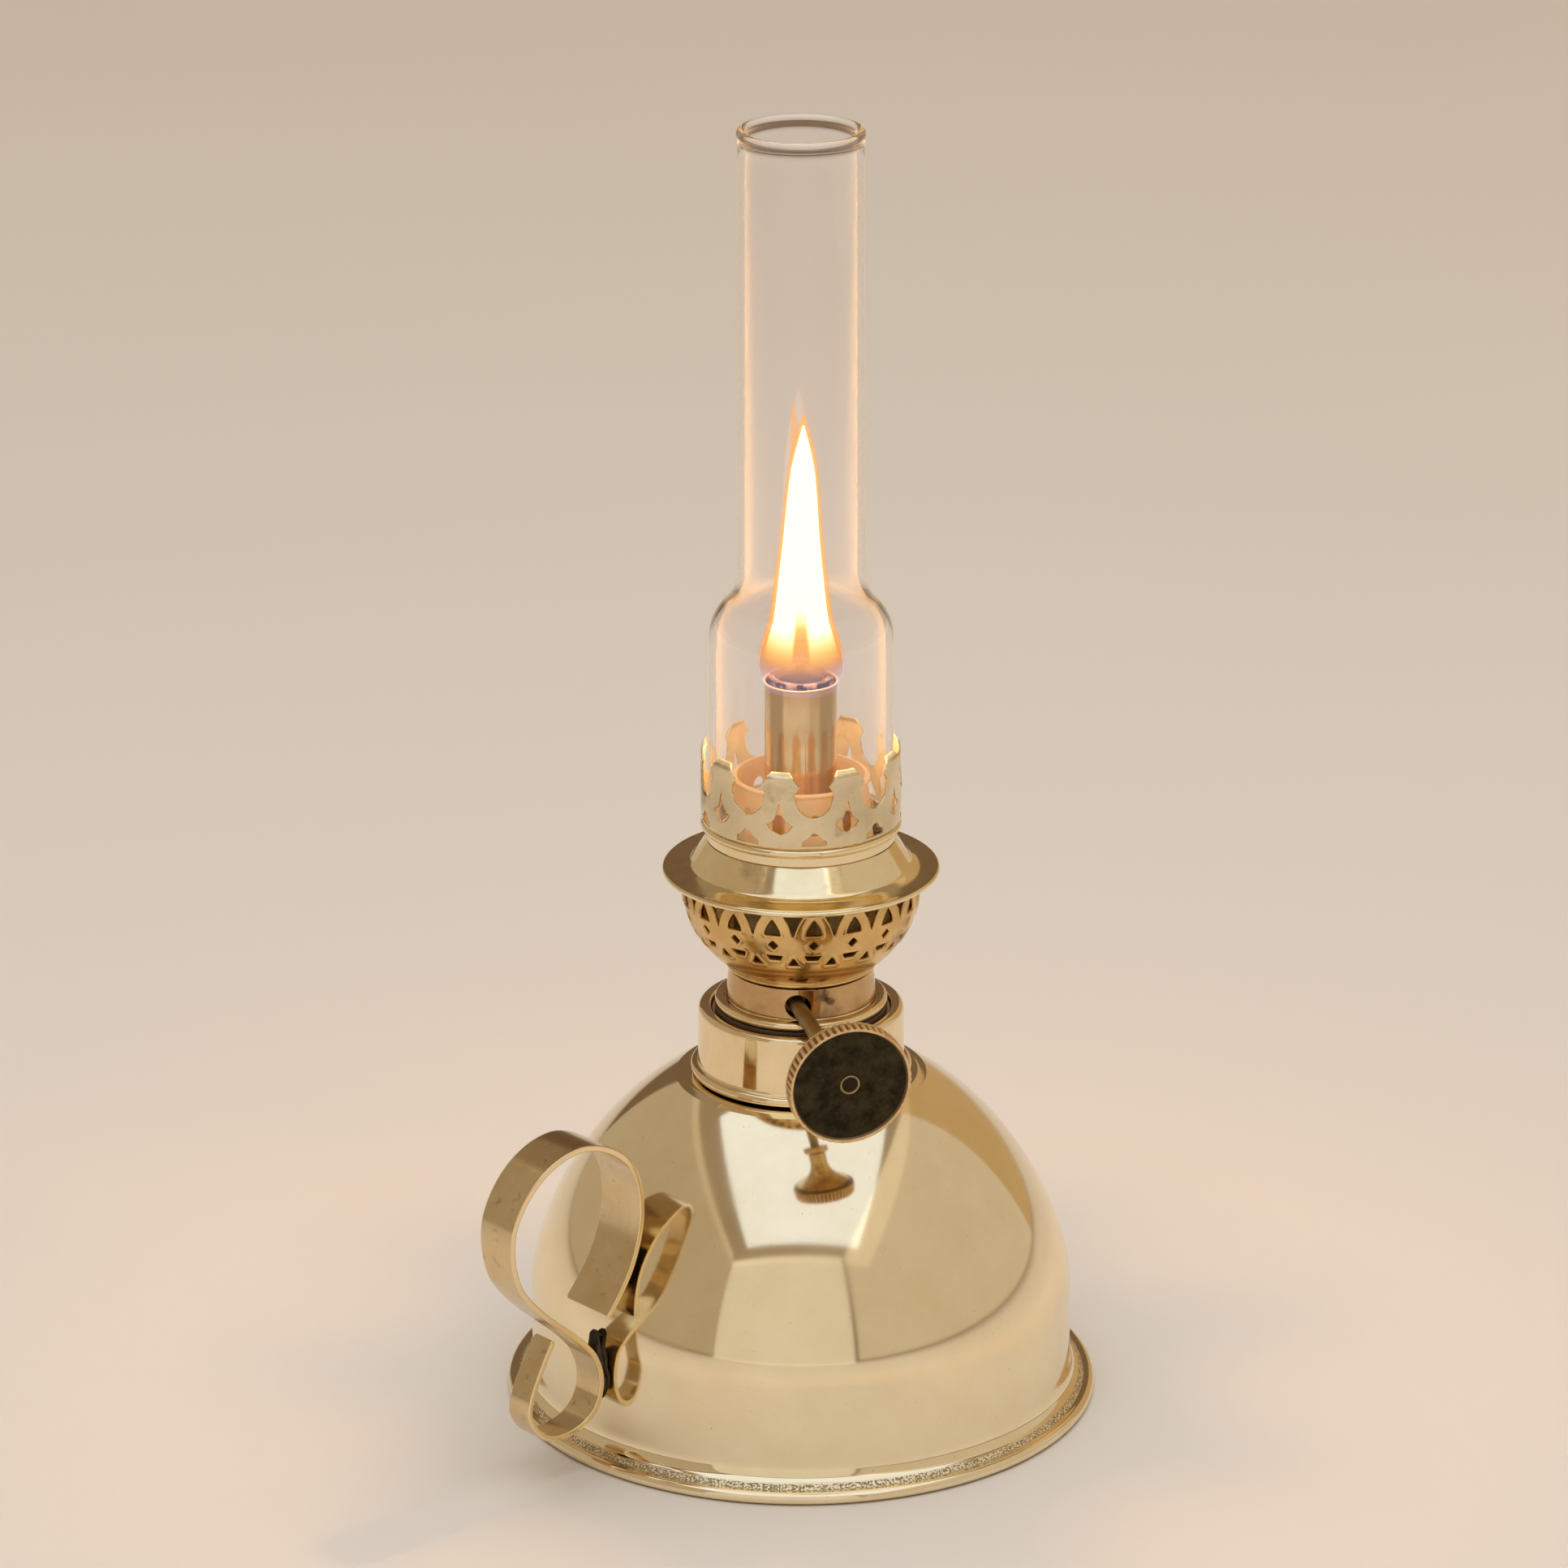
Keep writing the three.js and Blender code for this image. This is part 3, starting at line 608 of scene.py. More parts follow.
def finger_handle():
    steps = 360
    line = evenly([*spline(HANDLE_LINE), HANDLE_LINE[-1]], steps)
    tangents = np.gradient(line, axis=0)
    tangents /= np.linalg.norm(tangents, axis=1)[:, None]
    side = in_handle_plane(0, 0, 1)
    frames, sections = [], []
    for k, ((r, z), (dr, dz)) in enumerate(zip(line, tangents)):
        share = k / steps
        half = (HANDLE_WIDTH[0] + (HANDLE_WIDTH[1] - HANDLE_WIDTH[0]) * share) / 2
        worn_end = (0.18, 0.05, 0)[min(k, steps - k, 2)]
        half -= worn_end
        thick = HANDLE_SHEET / 2 - worn_end
        frames.append((in_handle_plane(r, z), side, in_handle_plane(-dz, dr)))
        corners = [(-half, -thick, 0.28), (half, -thick, 0.28), (half, thick, 0.28), (-half, thick, 0.28)]
        sections.append(rounded(corners, 4))
    s = Shade("handle_brass")
    grain = s.noise(900, 3, s.scaled(1, 1, 0.16))
    mottle = s.noise(120, 6, rough=0.62)
    edge = s.node("ShaderNodeAttribute", attribute_name="edge_wear").outputs["Fac"]
    colour = s.mix(s.between(mottle, 0.3, 0.7), (0.70, 0.57, 0.36), (0.56, 0.42, 0.22))
    colour = s.mix(s.times(s.between(s.noise(500, 3), 0.62, 0.72), 0.5), colour, (0.2, 0.15, 0.08))
    colour = s.mix(edge, colour, (0.90, 0.72, 0.44))
    rough = s.between(s.plus(mottle, s.times(grain, 0.6)), 0.4, 1.2, 0.13, 0.24)
    rough = s.math("SUBTRACT", rough, s.times(edge, 0.08))
    s.bump(s.plus(grain, s.times(mottle, 0.4)), 0.07, 2.5e-5)
    material = s.finish(Base_Color=colour, Metallic=1.0, Roughness=rough)
    piece = swept("handle_strip", frames, sections, material, crease=50)
    wear = piece.data.attributes.new("edge_wear", "FLOAT", "POINT")
    values = []
    for section in sections:
        reach_out = np.abs(np.array(section)[:, 0])
        values += list(np.clip((reach_out - reach_out.max() + 0.34) / 0.3, 0, 1))
    wear.data.foreach_set("value", values)
    return piece, "font", "satin_brass", ["finger_handle"]


def lumpy(piece, amount, scale):
    """Moves a mesh's vertices along their normals by smooth waves of a fixed pattern."""
    directions = RANDOM.normal(size=(7, 3))
    phases = RANDOM.uniform(0, 2 * math.pi, 7)
    for v in piece.data.vertices:
        wave = sum(math.sin(Vector(d).dot(v.co / MM) * scale + p) for d, p in zip(directions, phases)) / 3
        v.co += v.normal * amount * wave * MM


def solder():
    low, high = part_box("handle_solder")
    low_z, high_z = low.z / MM + 1.5, high.z / MM + 2.5
    steps, around = 44, 28
    frames, sections = [], []
    side = in_handle_plane(0, 0, 1)
    out = in_handle_plane(1, 0)
    for k in range(steps + 1):
        share = k / steps
        z = low_z + share * (high_z - low_z)
        swell = math.sqrt(max(1 - (2 * share - 1) ** 2, 0.02))
        half = 2.6 * swell * (1 + 0.28 * math.sin(7 * share))
        depth = 1.0 * swell
        frames.append((in_handle_plane(FONT_RADIUS + 0.55, z), side, out))
        angles = np.linspace(0, 2 * math.pi, around, endpoint=False)
        sections.append([(half * math.cos(a), depth * math.sin(a)) for a in angles])
    light, dark = (0.16, 0.14, 0.13), (0.035, 0.028, 0.024)
    material = dull_metal("old_solder", light, dark, (0.3, 0.7), scale=900, depth=1e-4)
    piece = swept("solder_joint", frames, sections, material, crease=60, weighted=False)
    lumpy(piece, 0.28, 1.3)
    return piece, "font", "solder", ["handle_solder"]


# ---- burner: washer, threaded ring, neck, basket, cone and gallery ----
def washer():
    radius, bottom, top = reach("collar_gasket")
    bore = radius - 1.8
    outline = rounded([(bore, bottom, 0.2), (radius, bottom, 0.2), (radius, top, 0.2), (bore, top, 0.2)])
    s = Shade("washer_leather")
    grain = s.noise(1400, 6, rough=0.7)
    colour = s.mix(s.between(grain, 0.35, 0.7), (0.07, 0.04, 0.022), (0.14, 0.085, 0.05))
    s.bump(grain, 0.6, 1e-4)
    material = s.finish(Base_Color=colour, Roughness=s.between(grain, 0.3, 0.7, 0.6, 0.9))
    return turned("leather_washer", outline, material), "gasket", "gasket", ["collar_gasket"]


def threaded_ring():
    _, end, top = reach("screw_ring")
    flange, flange_z, male, bore, pitch = 16.6, top - 1.8, 14.3, 13.3, 1.5
    depth = 0.45
    skirt = [(male, z) for z in np.arange(end + 0.3, flange_z - 0.8, 0.12)]
    outline = [
        (bore, end),
        (male - 0.4, end),
        *skirt,
        (male, flange_z),
        *arc(flange - 0.9, (flange_z + top) / 2, 0.9, -90, 90, 12),
        (14.9, top),
        (14.75, top - 0.25),
        (14.45, top - 0.25),
        (14.3, top),
        (bore, top),
    ]

    def thread(radius, z, azimuth):
        if radius != male or not end < z < flange_z - 0.6:
            return np.full(len(azimuth), radius)
        turn = (z / pitch - azimuth / (2 * math.pi)) % 1
        fade = min(1, (z - end) / 0.8, (flange_z - 0.6 - z) / 0.8)
        return radius - depth * fade * np.abs(2 * turn - 1) ** 0.7

    piece = turned("threaded_ring", outline, collar_brass, shift=thread, crease=50)
    return piece, "burner", "polished_brass", ["screw_ring"]


SHAFT_PORT = np.array([-0.5, -14.2, 84.0])
SHAFT_AZIMUTH, SHAFT_DROOP = 16.4, 4.2


def winder_axes():
    a, d = math.radians(SHAFT_AZIMUTH), math.radians(SHAFT_DROOP)
    along = np.array([math.sin(a) * math.cos(d), -math.cos(a) * math.cos(d), -math.sin(d)])
    level = np.array([math.cos(a), math.sin(a), 0])
    return level, np.cross(along, level), along


def neck():
    foot, bottom, top = reach("burner_neck")
    head, wall, port = foot - 0.5, 0.8, 2.3
    rows = np.linspace(0, 1, 45)
    outer = [(foot + (head - foot) * t, bottom + 0.05 + (top - bottom - 0.1) * t) for t in rows]
    inner = [(r - wall, z) for r, z in outer]
    _, _, along = winder_axes()

    def field(azimuth, radius, height):
        spot = np.stack([radius * np.sin(azimuth), -radius * np.cos(azimuth), height], -1) - SHAFT_PORT
        ahead = spot @ along
        away = np.linalg.norm(spot - ahead[..., None] * along, axis=-1)
        return np.where(ahead > -6, away - port, 9.0)

    piece = pierced("neck_band", outer, inner, field, neck_brass, 420, edge=0.05)
    return piece, "burner", "polished_brass", ["burner_neck"]


BASKET_REPEATS = 18
BASKET_PHASE = 6.2


def basket():
    rim, bottom, top = reach("air_basket")
    start, curve_base, curve_top, wall = 14.0, bottom + 0.8, 104.0, 0.75

    def radius_at(z):
        t = min(1, max(0, (z - curve_base) / (curve_top - curve_base)))
        return start + (rim - start) * (1 - (1 - t) ** 2) ** 0.82

    heights = [curve_base + (top - curve_base) * t**1.6 for t in np.linspace(0, 1, 92)]
    bowl = evenly([(radius_at(z), z) for z in heights], 78)
    bead = arc(start + 0.1, bottom + 0.42, 0.4, -150, 60, 9)
    outer = [(12.6, bottom + 0.25), *bead, *bowl[1:]]
    slopes = np.gradient(np.array(outer), axis=0)
    slopes /= np.linalg.norm(slopes, axis=1)[:, None]
    inner = np.array(outer) - wall * np.stack([slopes[:, 1], -slopes[:, 0]], 1)
    inner[: len(bead) + 1] = [(12.6, bottom + 0.9)]
    inner[1 : len(bead) + 1, 0] = np.linspace(12.7, start - 0.5, len(bead))
    half = 180 / BASKET_REPEATS
    gothic = [(-1.45, 101.7), *mirrored([(1.45, 101.7), (1.2, 102.7), (0.7, 103.7), (0, 104.7)])[:-1]]
    valley = mirrored([(0, 101.5), (0.35, 102.6), (0.85, 104), (1.75, 105.5)])
    diamond = [(0, 98.5), (0.85, 99.4), (0, 100.35), (-0.85, 99.4)]
    slot = [(-0.95, 95.9), (0.95, 95.9), (1.5, 97.0), (-1.5, 97.0)]
    wedge = [(-1.0, 94.6), (1.0, 94.6), (0, 96.4)]
    holes = [(gothic, 0), (valley, half), (diamond, 0), (slot, 0), (wedge, half)]
    field = repeated_holes(holes, BASKET_REPEATS, BASKET_PHASE, 0.08)

    def relief(distance):
        return 0.13 * np.exp(-(((distance - 0.3) / 0.22) ** 2))

    columns = 31 * BASKET_REPEATS
    piece = pierced("pierced_basket", outer, inner, field, golden, columns, edge=0.12, relief=relief)
    return piece, "burner", "satin_brass", ["air_basket"]


def cone():
    lip, _, top_z = reach("draught_cone")
    foot, foot_z, top, sheet = 21.05, 108.7, 18.1, 0.7
    lip_z = 107.3
    outline = [
        *arc(lip - 0.5, lip_z - 0.02, 0.5, -110, 82, 12),
        *bend((lip - 1.1, lip_z + 0.42), (foot + 1.6, foot_z - 0.55), (foot + 0.9, foot_z - 0.25), 12),
        *bend((foot + 0.5, foot_z - 0.12), (foot + 0.1, foot_z), (foot - 0.25, foot_z + 0.6), 6),
        (top + 0.1, top_z - 0.25),
        (top - 0.05, top_z),
        (top - sheet, top_z),
        (foot - sheet - 0.2, foot_z + 0.3),
        *bend((foot - sheet + 0.3, foot_z - 0.75), (foot + 1.3, foot_z - 1.1), (lip - 1.2, lip_z - 0.3), 6),
    ]
    material = turned_brass("cone_brass", (0.92, 0.80, 0.53), (0.84, 0.68, 0.38), (0.05, 0.15), stain=0.6)
    return turned("cone_and_flange", outline, material), "burner", "polished_brass", ["draught_cone"]


def seat_ring():
    outer, bottom, top = reach("gallery_seat")
    inner, ledge = outer - 0.3, outer - 2.5
    corners = [
        (ledge, bottom, 0.1),
        (outer, bottom, 0.12),
        (outer, top, 0.1),
        (inner, top),
        (inner, bottom + 0.6),
        (ledge, bottom + 0.6, 0.1),
    ]
    return turned("seat_ring", rounded(corners), polished), "burner", "polished_brass", ["gallery_seat"]


def bead_ring():
    outer, bottom, top = reach("gallery_bead")
    inner, middle, half = outer - 1.15, (bottom + top) / 2, (top - bottom) / 2
    turns = np.linspace(-1.57, 1.57, 17)
    bulge = [(inner + (outer - inner) * math.cos(a), middle + half * math.sin(a)) for a in turns]
    return turned("bead_ring", bulge, polished, crease=60), "burner", "polished_brass", ["gallery_bead"]


PRONGS = 9
PRONG_PHASE = -12.4
PRONG_GAP = (
    (0, 123.9), (1.1, 124.2), (2.2, 125.0), (3.0, 125.9), (3.3, 127.2), (3.65, 128.6), (2.75, 129.9),
    (3.5, 131.0), (4.9, 133.5),
)
PRONG_KITE = ((0, 120.6), (1.4, 121.2), (2.4, 122.4), (1.0, 123.3), (0.5, 124.6), (0, 126.7))
CROWN_ARCH = ((2.35, 118.3), (2.2, 119.1), (1.2, 119.6), (0.7, 120.4), (0, 120.8))


def crown():
    outer_radius, bottom, top = reach("gallery_crown")
    sheet, bulge, curl = 0.55, 0.12, 0.7
    outer = []
    for z in np.linspace(bottom + 0.1, top - 0.1, 74):
        lean = bulge * math.sin((z - bottom) / (top - bottom) * math.pi)
        lean -= curl * smoothstep(z, top - 1.4, top)
        outer.append((outer_radius - 0.14 + lean, z))
    inner = [(r - sheet, z) for r, z in outer]
    gap = mirrored([*(tuple(p) for p in spline(PRONG_GAP)[::6]), PRONG_GAP[-1]])
    kite = mirrored(PRONG_KITE)
    arch = mirrored(CROWN_ARCH)
    half = 180 / PRONGS
    field = repeated_holes([(gap, half), (kite, 0), (arch, half)], PRONGS, PRONG_PHASE, 0.05)
    material = turned_brass(
        "crown_brass",
        (0.86, 0.73, 0.49),
        (0.60, 0.49, 0.30),
        (0.07, 0.20),
        stain=0.7,
        matt_inside=18.75,
        # glow is painted flame light: the inner face and the curled tips emit warm light.
        glow=0.12,
    )
    piece = pierced("crown_of_prongs", outer, inner, field, material, 72 * PRONGS, edge=0.1)
    return piece, "burner", "polished_brass", ["gallery_crown"]


def draught_ring():
    foot, bottom, top = reach("draught_ring")
    rim, sheet, bead = 12.7, 0.5, 0.35
    rise = top - 0.95 - bottom
    side = [(foot - 0.05 + (rim - foot) * t, bottom + 0.05 + rise * t) for t in np.linspace(0, 1, 64)]
    roll = arc(rim + 0.02, top - 0.42, bead, -60, 120, 12)
    outer = [*side, *roll]
    inner = [(r - sheet, z) for r, z in side] + [(rim - sheet, z) for _, z in roll]
    slots, first, length, half_width, middle = 12, 11.2, 4.1, 1.2, 120.25

    def field(azimuth, radius, height):
        x = repeated(azimuth, radius, slots, first)
        beyond = np.maximum(np.abs(height - middle) - (length / 2 - half_width), 0)
        return np.hypot(x, beyond) - half_width

    material = turned_brass(
        "draught_ring_brass",
        (1.0, 0.74, 0.46),
        (0.95, 0.64, 0.36),
        (0.30, 0.45),
        stain=0.3,
        matt_inside=15,
        # glow is painted flame light: within the radius 15 the ring emits warm light.
        glow=0.24,
    )
    piece = pierced("slotted_draught_ring", outer, inner, field, material, 360, edge=0.08)
    return piece, "burner", "satin_brass", ["draught_ring"]


def sieve():
    radius, bottom, top = reach("air_sieve")
    rows = np.linspace(8.25, radius - 0.05, 60)
    holes = ((12, 16.4, 1.4), (12, 11.6, 1.0))

    def field(azimuth, distance, height):
        nearest = np.full(azimuth.shape, 9.0)
        for count, pitch, bore in holes:
            x = repeated(azimuth, distance, count, 0)
            y = np.sqrt(np.maximum(distance**2 - x**2, 0)) - pitch
            nearest = np.minimum(nearest, np.hypot(x, y) - bore)
        return nearest

    outer = [(r, bottom) for r in rows]
    inner = [(r, top) for r in rows]
    material = dull_metal("sieve_brass", (0.60, 0.42, 0.20), (0.34, 0.21, 0.08), (0.3, 0.5))
    piece = pierced("sieve_plate", outer, inner, field, material, 360, edge=0.08)
    return piece, "burner", "aged_brass", ["air_sieve"]


# ---- wick, its tubes and the flame ----
SEAM_AZIMUTH = 9.0
DUCT_AZIMUTH = 106.4


def outer_tube():
    flare, bottom, top = reach("wick_tube")
    outer, inner = flare - 0.35, flare - 0.75
    slot_half, slot_top = 1.8, 118.3
    side = [(outer, z) for z in np.linspace(bottom, top - 2.4, 60)]
    mouth = bend((outer, top - 2.3), (outer, top - 0.6), (flare - 0.02, top - 0.15), 12)
    face = [*side, *mouth]
    back = [(inner if z < top - 1 else inner + (r - outer), z) for r, z in face]

    def field(azimuth, radius, height):
        x = radius * np.sin(azimuth - math.radians(DUCT_AZIMUTH))
        front = np.cos(azimuth - math.radians(DUCT_AZIMUTH)) > 0
        slot = np.maximum(np.abs(x) - slot_half, height - slot_top)
        return np.where(front, slot, 9.0)

    s = Shade("wick_tube_brass")
    _, height = s.radius_and_height()
    heat = s.between(height, (top - 5) * MM, top * MM)
    streak = s.noise(700, 3, s.scaled(1, 1, 0.05))
    mottle = s.noise(220, 5)
    colour = s.mix(s.between(mottle, 0.3, 0.7), (0.95, 0.74, 0.42), (0.80, 0.58, 0.29))
    # Painted reflection: darker vertical stripes in the colour stand for the bands a polished tube mirrors.
    painted_reflection_stripes = s.noise(260, 2, s.scaled(1, 1, 0.02))
    colour = s.mix(s.between(painted_reflection_stripes, 0.5, 0.62), colour, (0.50, 0.36, 0.17))
    colour = s.mix(s.times(heat, 0.5), colour, (0.60, 0.30, 0.13))
    rough = s.between(s.plus(mottle, streak), 0.7, 1.3, 0.10, 0.26)
    s.bump(streak, 0.2, 2e-5)
    material = s.finish(
        Base_Color=colour,
        Metallic=1.0,
        Roughness=rough,
        # Painted flame light: the rim of the mouth emits warm light in place of the flame's light on it.
        Emission_Color=(1.0, 0.50, 0.22),
        Emission_Strength=s.between(height, (top - 0.5) * MM, (top - 0.1) * MM, 0.0, 1.5),
    )
    piece = pierced("outer_wick_tube", face, back, field, material, 180, edge=0.05)
    lap = 0.22
    for v in piece.data.vertices:
        azimuth = math.atan2(v.co.x, -v.co.y)
        share = ((azimuth - math.radians(SEAM_AZIMUTH)) / (2 * math.pi)) % 1
        radial = math.hypot(v.co.x, v.co.y)
        grown = radial + lap * (share - 0.5) * MM
        v.co.x *= grown / radial
        v.co.y *= grown / radial
    return piece, "burner", "satin_brass", ["wick_tube"]


WICK = {"radius": 5.6, "thickness": 1.3, "width": 30.5, "ring_bottom": 101.6, "shift_bottom": 92.6}
WICK_LOW = {"radius": 6.0, "face": -1.0, "flat_radius": 25.0, "curl_top": 66.0, "flat_top": 30.0}


def wick():
    _, bottom, top = reach("wick")
    across_steps, up_steps = 132, 340
    frames, sections = [], []
    thick = WICK["thickness"] / 2
    ring_face = -WICK["radius"] - thick
    out, side = facing(DUCT_AZIMUTH)
    ragged = RANDOM.uniform(-0.5, 0.35, across_steps + 1)
    for z in np.linspace(bottom, top - 0.35, up_steps + 1):
        ring = smoothstep(z, WICK["shift_bottom"], WICK["ring_bottom"])
        curl = smoothstep(z, WICK_LOW["flat_top"], WICK_LOW["curl_top"])
        low_radius = 1 / ((1 - curl) / WICK_LOW["flat_radius"] + curl / WICK_LOW["radius"])
        radius = low_radius + (WICK["radius"] - low_radius) * ring
        face = WICK_LOW["face"] + (ring_face - WICK_LOW["face"]) * ring
        centre = face + thick + radius
        section = []
        for sign in (1, -1):
            for k in range(across_steps + 1)[::sign]:
                across = WICK["width"] * (k / across_steps - 0.5)
                rib = 0.05 * abs(math.sin(math.pi * across / 1.1)) * math.sin(math.pi * z / 0.9 + (k % 2))
                char = 0.28 * ragged[k] * smoothstep(z, top - 2.2, top - 0.5)
                r = radius + sign * (thick - 0.12 + rib) + char
                section.append((r * math.sin(across / radius), centre - r * math.cos(across / radius)))
        frames.append((np.array([0, 0, z]), side, out))
        sections.append(section)
    s = Shade("cotton_wick")
    _, height = s.radius_and_height()
    weave = s.noise(1500, 2, s.scaled(1, 1, 0.5))
    soot = s.between(s.plus(height, s.times(weave, 0.0016)), 0.1405, 0.1445)
    soaked = s.between(height, 0.11, 0.04)
    colour = s.mix(s.between(weave, 0.35, 0.7), (0.62, 0.56, 0.44), (0.78, 0.73, 0.62))
    colour = s.mix(s.times(soaked, 0.5), colour, (0.36, 0.28, 0.14))
    colour = s.mix(soot, colour, (0.028, 0.016, 0.012))
    ember = s.times(s.between(height, 0.1446, 0.1458), s.between(s.noise(430, 3), 0.47, 0.62))
    s.bump(weave, 0.7, 1e-4)
    material = s.finish(
        Base_Color=colour,
        Roughness=0.95,
        Emission_Color=(1.0, 0.42, 0.24),
        Emission_Strength=s.times(ember, 1.3),
    )
    piece = swept("woven_wick", frames, sections, material, crease=70, weighted=False)
    return piece, "wick", "wick", ["wick"]


FLAME_OUTLINE = (
    (6.9, 143.9), (8.0, 146.0), (8.43, 148.3), (7.65, 152.0), (6.27, 156.5), (5.03, 165.8),
    (3.96, 175.0), (2.58, 188.6), (0.91, 195.0), (0.2, 197.4),
)
VIOLET, EMBER, AMBER = (0.62, 0.52, 1.0), (0.62, 0.20, 0.04), (1.0, 0.42, 0.10)
GOLD, WHITE = (1.0, 0.68, 0.28), (1.0, 0.93, 0.80)


def flame_layer(name, width, head, colours, strength, cover, fade_in, slot=0.0):
    """One closed layer of the flame.

    width is its share of the outline's and head its top. colours run from z 146 to 155.5, and strength rises
    from its first number to its second between z 149.2 and 155. cover is how much the layer hides: its first
    number below the height fade_in[0] and its second above fade_in[1]. slot is how much higher all this
    happens in the middle.
    """
    line = np.array([*spline(FLAME_OUTLINE), FLAME_OUTLINE[-1]])
    low, high = line[0, 1], line[-1, 1]
    heights = low + (line[:, 1] - low) * (head - low) / (high - low)
    outline = [(0, low), *[(r * width, z) for r, z in zip(line[:, 0], heights)], (0, head)]
    s = Shade(name + "_glow")
    parts = s.node("ShaderNodeSeparateXYZ")
    s.link(s.place, parts.inputs[0])
    aside = s.math("ABSOLUTE", parts.outputs[0])
    middle = s.between(aside, 1.7 * MM, 0.8 * MM, 0.0, slot * MM)
    height = s.math("SUBTRACT", parts.outputs[2], middle)
    steps = [(k / (len(colours) - 1), colour) for k, colour in enumerate(colours)]
    glow = s.node("ShaderNodeEmission")
    s.link(s.between(height, 0.1492, 0.155, *strength), glow.inputs["Strength"])
    s.link(s.ramp(s.between(height, 0.146, 0.1555), *steps), glow.inputs["Color"])
    hiding = s.between(height, fade_in[0] * MM, fade_in[1] * MM, *cover)
    s.surface(hiding, s.node("ShaderNodeBsdfTransparent"), glow)
    s.tree.nodes.remove(s.shader)
    piece = turned(name, outline, s.material, segments=96, crease=80, weighted=False)
    for v in piece.data.vertices:
        v.co.x += 0.45 * smoothstep(v.co.z / MM, 165, 198) * MM
    return piece


def flame_wisp():
    """The faint second tip, behind and to the left of the first."""
    foot, tip = 184, 200
    line = [(1.3 * math.sin(math.pi * (tip - z) / 34) + 0.02, z) for z in np.linspace(foot, tip, 24)]
    outline = [(0, foot), *line[1:-1], (0, tip)]
    material = bpy.data.materials["flame_halo_glow"]
    piece = turned("flame_wisp", outline, material, segments=48, crease=80, weighted=False)
    for v in piece.data.vertices:
        v.co.x -= (0.9 + 0.5 * smoothstep(v.co.z / MM, 186, 200)) * MM
        v.co.y += 0.8 * MM
    return piece


def flame():
    halo, mantle, core = (VIOLET, AMBER, AMBER), (EMBER, AMBER, AMBER), (EMBER, AMBER, GOLD, WHITE)
    layers = [
        flame_layer("flame_halo", 1.0, 197.4, halo, (1.0, 1.1), (0.12, 0.38), (146.5, 150)),
        flame_layer("flame_mantle", 0.93, 196.4, mantle, (0.7, 1.6), (0.0, 0.74), (146, 149.5)),
        flame_layer("flame_core", 0.85, 195.2, core, (0.8, 7), (0.0, 1.0), (147.5, 152), 5),
        flame_wisp(),
    ]
    for layer in layers:
        layer.visible_shadow = False
        layer.visible_diffuse = False
        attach(layer, "burner")


# ---- winder ----
KNOB = {"radius": 11.8, "face": 34.8, "thickness": 3.3, "recess": 11.15, "teeth": 56}


def on_winder(points):
    """Places points of (level, up, along) on the winder's axes."""
    level, up, along = winder_axes()
    return SHAFT_PORT + np.asarray(points) @ np.stack([level, up, along])


def winder_turned(name, outline, material, segments, shift=None, crease=35):
    """Turns an outline of (radius, place along the shaft) about the winder's shaft."""
    piece = turned(name, outline, material, segments, shift, crease=crease)
    flat = np.array([tuple(v.co) for v in piece.data.vertices]) / MM
    piece.data.vertices.foreach_set("co", (on_winder(flat) * MM).astype(np.float32).ravel())
    piece.data.update()
    return piece


def winder_place(s):
    """Sockets for the distance from the shaft's axis and for the place along it, in metres."""
    offset = s.node("ShaderNodeVectorMath", operation="SUBTRACT")
    s.link(s.place, offset.inputs[0])
    offset.inputs[1].default_value = tuple(SHAFT_PORT * MM)
    along = s.node("ShaderNodeVectorMath", operation="DOT_PRODUCT")
    s.link(offset.outputs[0], along.inputs[0])
    along.inputs[1].default_value = tuple(winder_axes()[2])
    length = s.node("ShaderNodeVectorMath", operation="LENGTH")
    s.link(offset.outputs[0], length.inputs[0])
    sides = (length.outputs["Value"], along.outputs["Value"])
    squares = [s.times(socket, socket) for socket in sides]
    radial = s.math("SQRT", s.math("MAXIMUM", s.math("SUBTRACT", *squares), 0.0))
    return radial, along.outputs["Value"]


